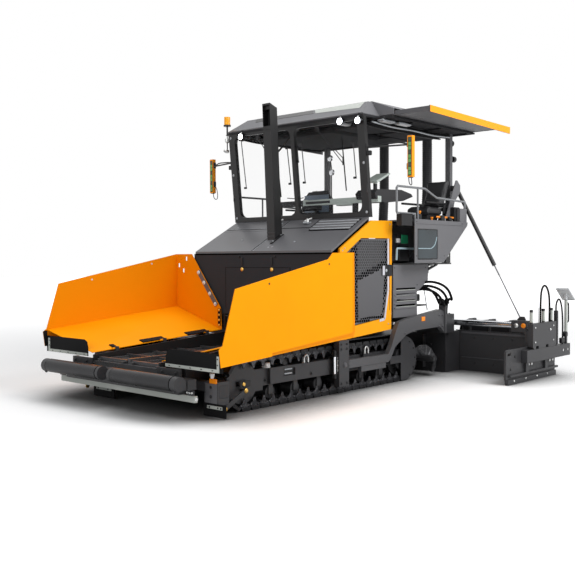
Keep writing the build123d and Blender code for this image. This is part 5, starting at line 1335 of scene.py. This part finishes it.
for x, s, z, way in ((1.16, 5.40, 3.132, 1), (1.16, 5.26, 3.36, -1)):
    if way < 0:
        lights.turned((x, s + 0.03, z), TO_REAR, [(0, 0.03), (0.01, 0.045), (0.045, 0.047), (0.05, 0.04)],
                      plastic, 18)
    lights.turned((x, s + (0.005 if way > 0 else 0.082), z), TO_REAR, [(0, 0.042), (0.004, 0.04), (0.007, 0.02)],
                  chrome, 18)
lights.made("lamp_lenses", "tractor", "plastic")

# %% [markdown]
# ## Signal bars
# Each signal bar has a column of nine blank segments on its front face, two green ones and a dark one in turn,
# and clips that hold it to its bracket. The segments are thin boxes a hair off the bar's dark face, so each
# keeps its own finish.

# %% Signal bars
SEGMENT_PITCH, SEGMENT_HEIGHT = 0.0518, 0.044
signal = Work()
signal.box(1.794, 1.846, 3.2545, 3.2575, 2.70, 3.18, plastic, 0.001)
for i in range(9):
    z = 2.712 + SEGMENT_PITCH * i
    signal.box(1.800, 1.840, 3.2525, 3.2548, z, z + SEGMENT_HEIGHT,
               dark_segment if i % 3 == 2 else green_segment, 0.001)
signal.box(1.80, 1.84, 3.262, 3.308, 2.675, 2.684, charcoal, 0.002)
signal.box(1.765, 1.785, 3.262, 3.308, 2.78, 2.86, plastic, 0.006)
signal.box(1.765, 1.785, 3.262, 3.308, 3.06, 3.15, plastic, 0.006)
signal.tube([(1.77, 3.285, 3.10), (1.66, 3.27, 3.13), (1.45, 3.22, 3.12), (1.26, 3.17, 3.10)], 0.009, plastic, 8, 0.06)
signal.box(1.245, 1.30, 3.12, 3.18, 2.99, 3.05, plastic, 0.008)
for x in (1.79, 1.85):
    signal.turned((x, 3.26, 3.192), UP, [(0, 0.004), (0.006, 0.004)], zinc, 8)
signal.both("signal_segments", "tractor", "plastic")
print("lamps and screen dressed")

# %% [markdown]
# ## On the canopy
# The crown's front slope holds a dark blank panel and a pale one. They are thin plates whose corners are looked
# for on the slope, so they lie flat on it. Straps and bolts cross the roof behind them.

# %% Canopy panels
def slab(work, corners, up, height, coat):
    """A flat plate from its corners, raised off a surface."""
    corners, up = [Vector(c) for c in corners], Vector(up).normalized()
    count = len(corners)
    points = corners + [c + up * height for c in corners]
    faces = [tuple(range(count)), tuple(range(count, 2 * count))]
    faces += [(i, (i + 1) % count, count + (i + 1) % count, count + i) for i in range(count)]
    work.add(points, faces, coat)


NOSE_FRONT, NOSE_LENGTH, OVER_ROOF = 3.052, 0.293, 4.2
NOSE_PANELS = [  # corners as x and the share of the slope from its lower edge, thickness, coat
    ([(-0.84, 0.62), (0.27, 0.62), (0.15, 0.985), (-0.92, 0.985)], 0.003, black_paint),
    ([(0.31, 0.60), (1.09, 0.45), (1.06, 0.985), (0.20, 0.985)], 0.004, pale_grey),
    ([(-1.20, 0.04), (1.20, 0.04), (1.20, 0.09), (-1.20, 0.09)], 0.001, slate),
]
roof = Work()
slope = touch("canopy_roof", (0, 3.25, OVER_ROOF), DOWN)[1]
for corners, thickness, coat in NOSE_PANELS:
    corners = [touch("canopy_roof", (x, NOSE_FRONT + NOSE_LENGTH * t, OVER_ROOF), DOWN)[0] for x, t in corners]
    slab(roof, corners, slope, thickness, coat)
bolts(roof, "canopy_roof", [(x, s, OVER_ROOF) for x in (-0.6, 0.0, 0.6) for s in (3.7, 4.6, 5.3)], DOWN, 0.012,
      silver)
seams(roof, "canopy_roof", [((x, 3.5, OVER_ROOF), (x, 5.38, OVER_ROOF)) for x in (-0.37, 0.37)] +
      [((-1.05, s, OVER_ROOF), (1.05, s, OVER_ROOF)) for s in (4.1, 4.8)], DOWN, 0.02, 0.004, slate)
roof.made("roof_panels", "tractor", "grey_paint")

# %% [markdown]
# ## Under the ceiling
# From the ground a canopy is mostly its underside: covers of the air duct, ribs across, bundles of conduit along
# the left edge and a few lamps. All of it hangs from one height, the ceiling's lower face. The covers and ribs
# are near black, which is painted shade under the roof.

# %% Ceiling fittings
CEILING = 3.4895
COVERS = [  # x, x, station, station, lower face, rounding
    (-0.62, 0.42, 3.42, 4.55, 3.40, 0.03), (0.50, 1.02, 3.40, 4.10, 3.425, 0.03),
    (-1.18, -0.72, 3.45, 4.9, 3.44, 0.02), (0.62, 0.95, 4.25, 5.2, 3.43, 0.015),
    (-0.5, 0.5, 4.70, 5.25, 3.45, 0.015),
]
CONDUITS = [  # x, radius, height, coat
    (1.10, 0.018, 3.45, rubber), (1.14, 0.014, 3.435, rubber), (1.18, 0.018, 3.46, rubber),
    (1.22, 0.012, 3.43, silver), (1.06, 0.010, 3.42, plastic), (-1.24, 0.016, 3.45, rubber),
]
under = Work()
# covers and ribs in painted shade
for x0, x1, s0, s1, low, edge in COVERS:
    under.box(x0, x1, s0, s1, low, CEILING, ceiling_shade_black, edge)
for s in (3.30, 3.95, 4.65, 5.35):
    under.box(-1.40, 1.40, s - 0.02, s + 0.02, 3.465, CEILING, ceiling_shade_black, 0.004)
for x, r, z, coat in CONDUITS:
    under.tube([(x, 3.28, z + 0.01), (x + 0.02, 3.7, z - 0.02), (x - 0.01, 4.2, z), (x + 0.02, 4.7, z - 0.025),
                (x, 5.18, z)], r, coat, 8, 0.2)
for x, s in ((1.28, 3.52), (1.30, 3.86), (0.74, 3.34), (-0.9, 4.3)):
    under.box(x - 0.05, x + 0.05, s - 0.14, s + 0.14, 3.452, 3.478, silver, 0.008)
    under.box(x - 0.035, x + 0.035, s - 0.12, s + 0.12, 3.444, 3.453, pale_display, 0.003)
under.made("ceiling_fittings", "tractor", "plastic")

# %% [markdown]
# ## Ribbed fume ducts
# The fume ducts are ribbed hose. Their middle is found by sending one line at each duct from ahead and one from
# behind, a little higher each time; where the two hits are a duct's width apart, a rib goes round the middle.

# %% Ribbed fume ducts
RIB_PITCH, RIBS_LOW, RIBS_TOP = 0.03, 1.12, 3.44
DUCT_LEAST, DUCT_MOST = 0.13, 0.175     # a duct's width, straight or aslant
RIB = [(-0.006, 0.0715), (-0.002, 0.0765), (0.002, 0.0765), (0.006, 0.0715)]
ribs = Work()
rib_count = 0
for x in (0.7, -0.1):
    centres = []
    z = RIBS_LOW
    while z < RIBS_TOP:
        front = touch("fume_ducts", (x, 3.2, z), TO_REAR)[0]
        back = touch("fume_ducts", (x, 6.4, z), TO_FRONT)[0]
        if DUCT_LEAST < back.y - front.y < DUCT_MOST:
            centres.append(Vector((x, (front.y + back.y) / 2, z)))
        z += RIB_PITCH
    for below, place, above_it in zip(centres, centres[1:], centres[2:]):
        ribs.turned(place, above_it - below, RIB, duct_grey, 16)
        rib_count += 1
ribs.made("duct_ribs", "tractor", "dark_paint")
print("duct ribs:", rib_count)

# %% [markdown]
# ## The operator's desk
# The desk hangs on a rail behind the windscreen. Its large display is a thin dark plate laid on the console's
# sloping face, so its sides follow the normal found there. It shows nothing.

# %% Desk and displays
DISPLAY_HALF, DISPLAY_RISE = 0.24, 0.13
desk = Work()
place, up = touch("control_console", (-0.5, 3.78, 2.50), TO_REAR)
side = Vector(TO_LEFT)
rise = up.cross(side).normalized()
rise = rise if rise.z > 0 else -rise
slab(desk, [place + side * DISPLAY_HALF * a + rise * DISPLAY_RISE * b
            for a, b in ((-1, -1), (1, -1), (1, 1), (-1, 1))], up, 0.003, display_painted_reflection)
desk.box(-0.285, -0.235, 3.63, 3.73, 2.36, 2.52, pale_green, 0.006)
desk.box(-0.30, 0.0, 3.62, 3.74, 2.36, 2.43, plastic, 0.012)
desk.box(0.34, 0.62, 3.625, 3.735, 2.405, 2.432, pale_green, 0.006)
desk.tube([(0.20, 3.70, 2.5), (0.20, 3.70, 2.96), (0.19, 3.68, 3.08)], 0.008, plastic, 8, 0.05)
for x, z in ((0.23, 2.88), (0.20, 3.08)):
    desk.turned((x, 3.70, z), (0, -1, 0.1), [(0, 0.03), (0.02, 0.044), (0.035, 0.044), (0.038, 0.034)], chrome, 16)
desk.made("desk_fittings", "tractor", "grey_paint")
print("canopy and desk dressed")

# %% [markdown]
# ## Tracks
# Between the wheels and the shoes runs a chain of forged links, held by pins. The steelwork has the chain's
# plain band, so each link's plate and its pin are added along the loop, one for each shoe. The loop is two
# straights and two half circles, so a distance run along it gives a place and a direction.

# %% Track chains
TRACK_FRONT, TRACK_REAR = 0.94, 3.96     # stations of the end wheels
LOOP_MIDDLE, CHAIN_R = 0.302, 0.247
LINK_OUT, LINK_IN, LINK_PLATE = 1.2125, 0.9675, 0.011      # |x| of the chain's faces


def loop_place(run):
    """A place on the chain and its direction, from the distance run along the loop."""
    straight, bend = TRACK_REAR - TRACK_FRONT, pi * CHAIN_R
    run = run % (2 * straight + 2 * bend)
    if run < straight:
        return TRACK_FRONT + run, LOOP_MIDDLE - CHAIN_R, 0.0
    run -= straight
    if run < bend:
        a = run / CHAIN_R
        return TRACK_REAR + CHAIN_R * sin(a), LOOP_MIDDLE - CHAIN_R * cos(a), a
    run -= bend
    if run < straight:
        return TRACK_REAR - run, LOOP_MIDDLE + CHAIN_R, pi
    a = (run - straight) / CHAIN_R
    return TRACK_FRONT - CHAIN_R * sin(a), LOOP_MIDDLE + CHAIN_R * cos(a), pi + a


LOOP = 2 * (TRACK_REAR - TRACK_FRONT) + 2 * pi * CHAIN_R
LINKS = 50
LINK_SHAPE = [(-0.078, -0.018), (0.070, -0.018), (0.078, 0.0), (0.062, 0.02), (0.030, 0.024), (0.012, 0.082),
              (-0.014, 0.086), (-0.032, 0.034), (-0.062, 0.02), (-0.082, 0.0)]
chain = Work()
for i in range(LINKS):
    s, z, turn = loop_place(i * LOOP / LINKS)
    if s < TRACK_FRONT - 0.02 or s > TRACK_REAR + 0.02:
        continue
    outline = [(s + a * cos(turn) - b * sin(turn), z + a * sin(turn) + b * cos(turn)) for a, b in LINK_SHAPE]
    chain.plate(outline, "x", LINK_OUT, LINK_OUT + LINK_PLATE, link_steel)
    chain.plate(outline, "x", LINK_IN - LINK_PLATE, LINK_IN, link_steel)
    for end in (-0.058, 0.052):
        place = (s + end * cos(turn), z + end * sin(turn))
        chain.turned((LINK_OUT, *place), TO_LEFT, [(0, 0.011), (0.016, 0.011), (0.018, 0.007)], link_steel, 8)
chain.both("chain_links", "tractor", "track_steel")

# %% [markdown]
# ## Track frames
# The frames between the wheels carry the idler's cap, two lashing eyes, a small cover with pins and bolts. A
# lashing eye is half a ring with two legs, so its path is a half circle between two straight ends.

# %% Track frames
undercarriage = Work()
for s, z in ((0.60, 0.07), (0.915, 0.232)):          # pins of the link bar
    undercarriage.turned((1.262, s, z), TO_LEFT, [(0, 0.028), (0.010, 0.028), (0.014, 0.02), (0.02, 0.018),
                                                  (0.022, 0.01)], brass, 16)
place, up = touch("track_wheels", (1.6, 0.94, 0.30), TO_RIGHT)
undercarriage.turned(place, up, [(0, 0.05), (0.012, 0.05), (0.016, 0.03), (0.03, 0.028), (0.033, 0.016)], slate, 20)
undercarriage.plate([(0.86, 0.265), (1.02, 0.265), (1.02, 0.335), (0.86, 0.335)], "x", 1.224, 1.234,
                    black_paint, 0.004)
undercarriage.turned((1.234, 0.91, 0.30), TO_LEFT, [(0, 0.022), (0.008, 0.022), (0.012, 0.016)], brass, 16)
EYE_HALF, EYE_RISE, EYE_Z = 0.036, 0.044, 0.478
for x, s in ((1.258, 1.924), (1.2485, 3.117)):
    arc = [(x, s + EYE_HALF * cos(a), EYE_Z + 0.012 + EYE_RISE * sin(a)) for a in [pi * k / 8 for k in range(9)]]
    undercarriage.tube([(x, s + EYE_HALF, EYE_Z - 0.03)] + arc + [(x, s - EYE_HALF, EYE_Z - 0.03)], 0.011, zinc, 10)
undercarriage.box(1.15, 1.24, 1.30 - 0.03, 1.30 + 0.03, 0.47 - 0.03, 0.47 + 0.03, white_plastic, 0.005)
place = touch("track_frames", (1.6, 1.66, 0.37), TO_RIGHT)[0]
undercarriage.box(place.x - 0.001, place.x + 0.006, 1.56, 1.77, 0.315, 0.415, charcoal, 0.004)
undercarriage.box(place.x + 0.005, place.x + 0.008, 1.585, 1.745, 0.33, 0.40, black_paint, 0.002)
for z in (0.34, 0.39):
    undercarriage.box(place.x + 0.007, place.x + 0.012, 1.60, 1.73, z - 0.008, z + 0.008, silver, 0.003)
bolts(undercarriage, "track_frames", [(1.6, s, 0.30) for s in (1.30, 2.05, 2.85, 3.45)], TO_RIGHT, 0.016, charcoal)
GUARD_BOLTS_R = 0.262
for a in (-60, -30, 0, 30, 60):
    s, z = TRACK_REAR + GUARD_BOLTS_R * cos(radians(a)), 0.30 + GUARD_BOLTS_R * sin(radians(a))
    undercarriage.turned((1.2525, s, z), TO_LEFT, [(0, 0.012), (0.008, 0.012), (0.01, 0.007)], black_paint, 10)
undercarriage.tube([(1.10, 1.2, 0.43), (1.12, 1.34, 0.40), (1.10, 1.42, 0.31)], 0.012, black_paint, 8, 0.06)
undercarriage.tube([(1.21, 2.40, 0.46), (1.22, 2.36, 0.36), (1.22, 2.40, 0.26)], 0.011, black_paint, 8, 0.06)
undercarriage.both("undercarriage_fittings", "tractor", "cast")

# %% [markdown]
# ## Tow posts and tow arms
# The screed is drawn by two arms that start at the tow posts. Each post has a chromed levelling rod between two
# blocks and a short chain beside it, whose links turn by a quarter from one to the next, so wide and narrow
# boxes in turn show it. The posts belong to the tractor, the arms to the screed.

# %% Tow posts and arms
tow = Work()
tow.rod((1.285, 2.425, 0.26), (1.285, 2.425, 0.47), 0.021, chrome)
tow.box(1.262, 1.31, 2.40, 2.4405, 0.47, 0.55, charcoal, 0.006)
tow.box(1.262, 1.31, 2.40, 2.4405, 0.20, 0.26, charcoal, 0.006)
for i in range(6):
    z = 0.44 - 0.03 * i
    tow.box(1.318 if i % 2 else 1.322, 1.330 if i % 2 else 1.326, 2.43, 2.439, z, z + 0.026, zinc, 0.002)
bolts(tow, "tow_posts", [(1.6, s, z) for z in (0.14, 0.56, 0.62) for s in (2.48, 2.59)], TO_RIGHT, 0.013, charcoal)
place, up = touch("tow_posts", (1.8, 2.55, 0.36), TO_RIGHT)
tow.turned(place, up, [(0, 0.034), (0.006, 0.034), (0.008, 0.026), (0.016, 0.024), (0.018, 0.014)], slate, 20)
tow.both("tow_post_fittings", "tractor", "grey_paint")

arm = Work()
place = touch("tow_arms", (1.8, 4.30, 0.84), TO_RIGHT)[0]
arm.box(place.x - 0.001, place.x + 0.007, 4.26, 4.345, 0.80, 0.86, reflector, 0.004)
ARM_BOLTS = [(2.62, 0.36), (2.5, 0.36), (4.72, 0.86), (4.72, 0.70), (4.80, 0.86), (4.80, 0.70), (3.86, 0.66)]
bolts(arm, "tow_arms", [(1.8, s, z) for s, z in ARM_BOLTS], TO_RIGHT, 0.014, slate)
arm.both("arm_fittings", "screed", "grey_paint")
print("undercarriage dressed")

# %% [markdown]
# ## The screed
# The extending screeds slide on bright tubes. Their brackets carry an orange button and a bolt, ledges run
# along their fronts, and a tray on each deck holds the bundle of hoses.

# %% Screed fittings
screed = Work()
for x in (2.30, 2.41):
    place, up = touch("extension_left", (x, 4.0, 0.735), TO_REAR)
    screed.turned(place, up, [(0, 0.034), (0.008, 0.034), (0.014, 0.024), (0.016, 0.01)],
                  reflector if x > 2.35 else zinc, 18)
bolts(screed, "extension_left", [(x, 4.6, z) for x in (1.5, 1.8, 2.1, 2.4) for z in (0.12, 0.50)], TO_REAR, 0.011,
      charcoal)
place, up = touch("extension_left", (1.8, 4.6, 0.55), TO_REAR)
screed.strip((1.28, place.y, 0.565), (2.46, place.y, 0.565), up, 0.03, 0.006, slate)
screed.strip((1.28, place.y, 0.20), (2.46, place.y, 0.20), up, 0.012, 0.005, slate)
screed.both("extension_fittings", "extension_{side}", "grey_paint")

tray = Work()
deck = touch("extension_left", (1.8, 5.54, 0.9), DOWN)[0].z
tray.box(1.26, 2.24, 5.47, 5.62, deck, deck + 0.14, plastic, 0.02)
for x in (1.40, 1.72, 2.05):
    tray.box(x - 0.02, x + 0.02, 5.462, 5.628, deck, deck + 0.215, charcoal, 0.006)
tray.both("hose_tray", "extension_{side}", "plastic")

hood_plate = Work()
for x in (0.2, 0.6, 1.0):
    bolts(hood_plate, "screed_main", [(x, 4.6, 0.40)], TO_REAR, 0.013, charcoal)
    bolts(hood_plate, "screed_main", [(x, 5.10, 1.4), (x, 5.36, 1.4)], DOWN, 0.011, slate)
bolts(hood_plate, "screed_main", [(x, s, 1.4) for x in (1.14, 1.28) for s in (4.90, 5.08)], DOWN, 0.012, slate)
hood_plate.both("screed_bolts", "screed", "grey_paint")

# %% [markdown]
# ## End gates
# The gates close the screed's ends. Each has three small posts with black caps, bolts along its channel and its
# runner, a handle, and a control box on a stalk with a blank display above it. One side is drawn and mirrored.

# %% End gates
BESIDE = 3.2                 # |x| well outside the gate, from where its face is looked for
POST_IN, POST_OUT = 2.5453, 2.5753
gate = Work()
for s in (5.075, 5.44, 5.69):
    gate.box(POST_IN - 0.0012, POST_OUT + 0.0012, s - 0.0212, s + 0.0212, 0.79, 0.93, pale_grey, 0.003)
    gate.box(POST_IN - 0.003, POST_OUT + 0.003, s - 0.023, s + 0.023, 0.932, 0.963, plastic, 0.006)
gate.rod((2.56, 5.30, 0.774), (2.56, 5.30, 0.985), 0.006, zinc, 8)
bolts(gate, "end_gate_left", [(BESIDE, 5.56, 0.67)], TO_RIGHT, 0.012, zinc)
bolts(gate, "end_gate_left", [(BESIDE, s, z) for z in (0.72, 0.52) for s in (5.10, 5.66)], TO_RIGHT, 0.008, zinc)
for s in (5.05, 5.14, 5.70, 5.79):
    place, up = touch("end_gate_left", (BESIDE, s, 0.225), TO_RIGHT)
    gate.turned(place, up, [(0, 0.024), (0.012, 0.024), (0.018, 0.016)], zinc, 6)
bolts(gate, "end_gate_left", [(BESIDE, s, 0.045) for s in (4.62, 4.95, 5.28, 5.60)], TO_RIGHT, 0.009, zinc)
for s, z in ((4.56, 0.41), (4.56, 0.20), (4.68, 0.36)):
    place, up = touch("end_gate_left", (BESIDE, s, z), TO_RIGHT)
    gate.turned(place, up, [(0, 0.018), (0.006, 0.018), (0.008, 0.01)], black_paint, 12)
handle = [(6.15, 0.72), (6.232, 0.74), (6.232, 0.99), (6.20, 1.02), (6.175, 0.98), (6.165, 0.82), (6.145, 0.79)]
gate.tube([(2.575, s, z) for s, z in handle], 0.010, rubber, 10, 0.03)
stalk = touch("end_gate_left", (BESIDE, 6.13, 0.90), TO_RIGHT)[0]
gate.box(stalk.x - 0.032, stalk.x + 0.002, 6.108, 6.152, 0.60, 1.055, pale_grey, 0.004)
gate.turned((2.545, 6.13, 0.56), TO_LEFT, [(0, 0.04), (0.05, 0.04), (0.054, 0.03)], plastic, 16)
gate.box(2.55, 2.60, 5.96, 6.06, 0.44, 0.52, plastic, 0.01)
gate.box(2.545, 2.60, 5.80, 5.84, 0.44, 0.92, charcoal, 0.006)
across, along_slope = Vector(TO_LEFT), Vector((0, 0.16, -0.118)).normalized()
for start, way, x0, x1, s0, s1 in (((2.52, 6.10, 0.6), UP, -0.03, 0.13, -0.06, 0.13),
                                   ((2.58, 6.13, 1.6), DOWN, -0.09, 0.07, -0.10, 0.09)):
    place, up = touch("end_gate_left", start, way)
    slab(gate, [place + across * a + along_slope * b for a, b in ((x0, s0), (x1, s0), (x1, s1), (x0, s1))], up,
         0.003, pale_display)
gate.both("gate_fittings", "extension_{side}", "dark_paint")
print("screed dressed")

# %% [markdown]
# ## The studio floor
# The machine stands on white paper. The paper is lit like the machine, so it keeps the soft shadow, and a little
# light of its own, seen only by the camera and in reflections, carries it to pure white. Close under the machine
# an Ambient Occlusion node darkens it, which gives the deep contact shadow of a studio.

# %% Floor
scene = bpy.context.scene
scene.view_settings.view_transform = "Standard"
FLOOR_HALF = 60.0
mesh = bpy.data.meshes.new("floor")
mesh.from_pydata([(-FLOOR_HALF, -FLOOR_HALF, 0), (FLOOR_HALF, -FLOOR_HALF, 0), (FLOOR_HALF, FLOOR_HALF, 0),
                  (-FLOOR_HALF, FLOOR_HALF, 0)], [], [(0, 1, 2, 3)])
floor = bpy.data.objects.new("floor", mesh)
scene.collection.objects.link(floor)
PAPER_GLOW, SHADE_REACH = 0.1, 1.1
paper = Finish("floor_paper", Roughness=0.9, Specular_IOR_Level=0.1)
open_sky = paper.node("ShaderNodeAmbientOcclusion", {"samples": 8}, {"Distance": SHADE_REACH}, out=1)
clear = paper.ramp(open_sky, (0.35, 0.0), (0.92, 1.0))
paper.set(Base_Color=paper.blend(clear, (0.10, 0.10, 0.10), (0.93, 0.93, 0.93)))
path = {}
for out, key in ((0, "camera"), (3, "glossy"), (6, "transmission")):
    path[key] = paper.node("ShaderNodeLightPath", out=out)
looked_at = path["camera"] + path["glossy"] + path["transmission"]
away = paper.node("ShaderNodeVectorMath", {"operation": "LENGTH"}, {0: paper.place()}, out=1)
far = paper.ramp(away * 0.02, (0.1, 0.0), (0.42, 1.0))
glow_colour = paper.blend(clear, (0.0, 0.0, 0.0), (1.0, 1.0, 1.0))
near_glow = paper.node("ShaderNodeEmission", {}, {"Color": glow_colour, "Strength": PAPER_GLOW})
far_glow = paper.node("ShaderNodeEmission", {}, {"Color": (1, 1, 1, 1), "Strength": 1.0})
glow = paper.node("ShaderNodeMixShader", {}, {0: far, 1: near_glow, 2: far_glow})
unlit = paper.node("ShaderNodeEmission", {}, {"Color": (0, 0, 0, 1), "Strength": 0.0})
own_light = paper.node("ShaderNodeMixShader", {}, {0: looked_at, 1: unlit, 2: glow})
both_lights = paper.node("ShaderNodeAddShader", {}, {0: Field(paper, paper.shader.outputs[0]), 1: own_light})
paper.tree.links.new(both_lights.socket, paper.output.inputs["Surface"])
floor.data.materials.append(paper.material)

# %% [markdown]
# ## The world
# The world does the same as the paper: it lights the machine at a plain level, and is full white only where it
# is looked at, straight, through glass or in a reflection.

# %% World
SKY_LEVEL = 0.42
world = bpy.data.worlds.new("surround")
scene.world = world
world.use_nodes = True
tree = world.node_tree
tree.nodes.clear()
ray = tree.nodes.new("ShaderNodeLightPath")
seen = ray.outputs["Is Camera Ray"]
for way in ("Is Transmission Ray", "Is Glossy Ray"):
    either = tree.nodes.new("ShaderNodeMath")
    either.operation, either.use_clamp = "ADD", True
    tree.links.new(seen, either.inputs[0])
    tree.links.new(ray.outputs[way], either.inputs[1])
    seen = either.outputs[0]
sky, white = [tree.nodes.new("ShaderNodeBackground") for i in range(2)]
sky.inputs[0].default_value = (0.97, 0.98, 1.0, 1)
sky.inputs[1].default_value = SKY_LEVEL
white.inputs[0].default_value = (1, 1, 1, 1)
white.inputs[1].default_value = 1.0
mix = tree.nodes.new("ShaderNodeMixShader")
out = tree.nodes.new("ShaderNodeOutputWorld")
tree.links.new(seen, mix.inputs[0])
tree.links.new(sky.outputs[0], mix.inputs[1])
tree.links.new(white.outputs[0], mix.inputs[2])
tree.links.new(mix.outputs[0], out.inputs[0])

# %% [markdown]
# ## Studio lamps
# Three broad square lamps: the key on the machine's left, a weaker one ahead of it that lights the hopper's
# front, and one overhead. The larger a lamp is, the softer the rim of its shadow.

# %% Studio lamps
AIM = Vector((0, 0, 1.2))
LAMPS = [  # name, place, size, watts
    ("key", (8.5, 1.5, 7.5), 6.0, 800.0),
    ("front", (2.0, -12.0, 5.5), 6.0, 330.0),
    ("top", (-2.0, 0.0, 10.0), 7.0, 330.0),
]
for name, place, size, power in LAMPS:
    data = bpy.data.lights.new(name, "AREA")
    data.shape = "SQUARE"
    data.size = size
    data.energy = power
    lamp = bpy.data.objects.new(name, data)
    lamp.location = place
    lamp.rotation_euler = (AIM - Vector(place)).to_track_quat("-Z", "Y").to_euler()
    scene.collection.objects.link(lamp)
print("studio lamps:", len(LAMPS))
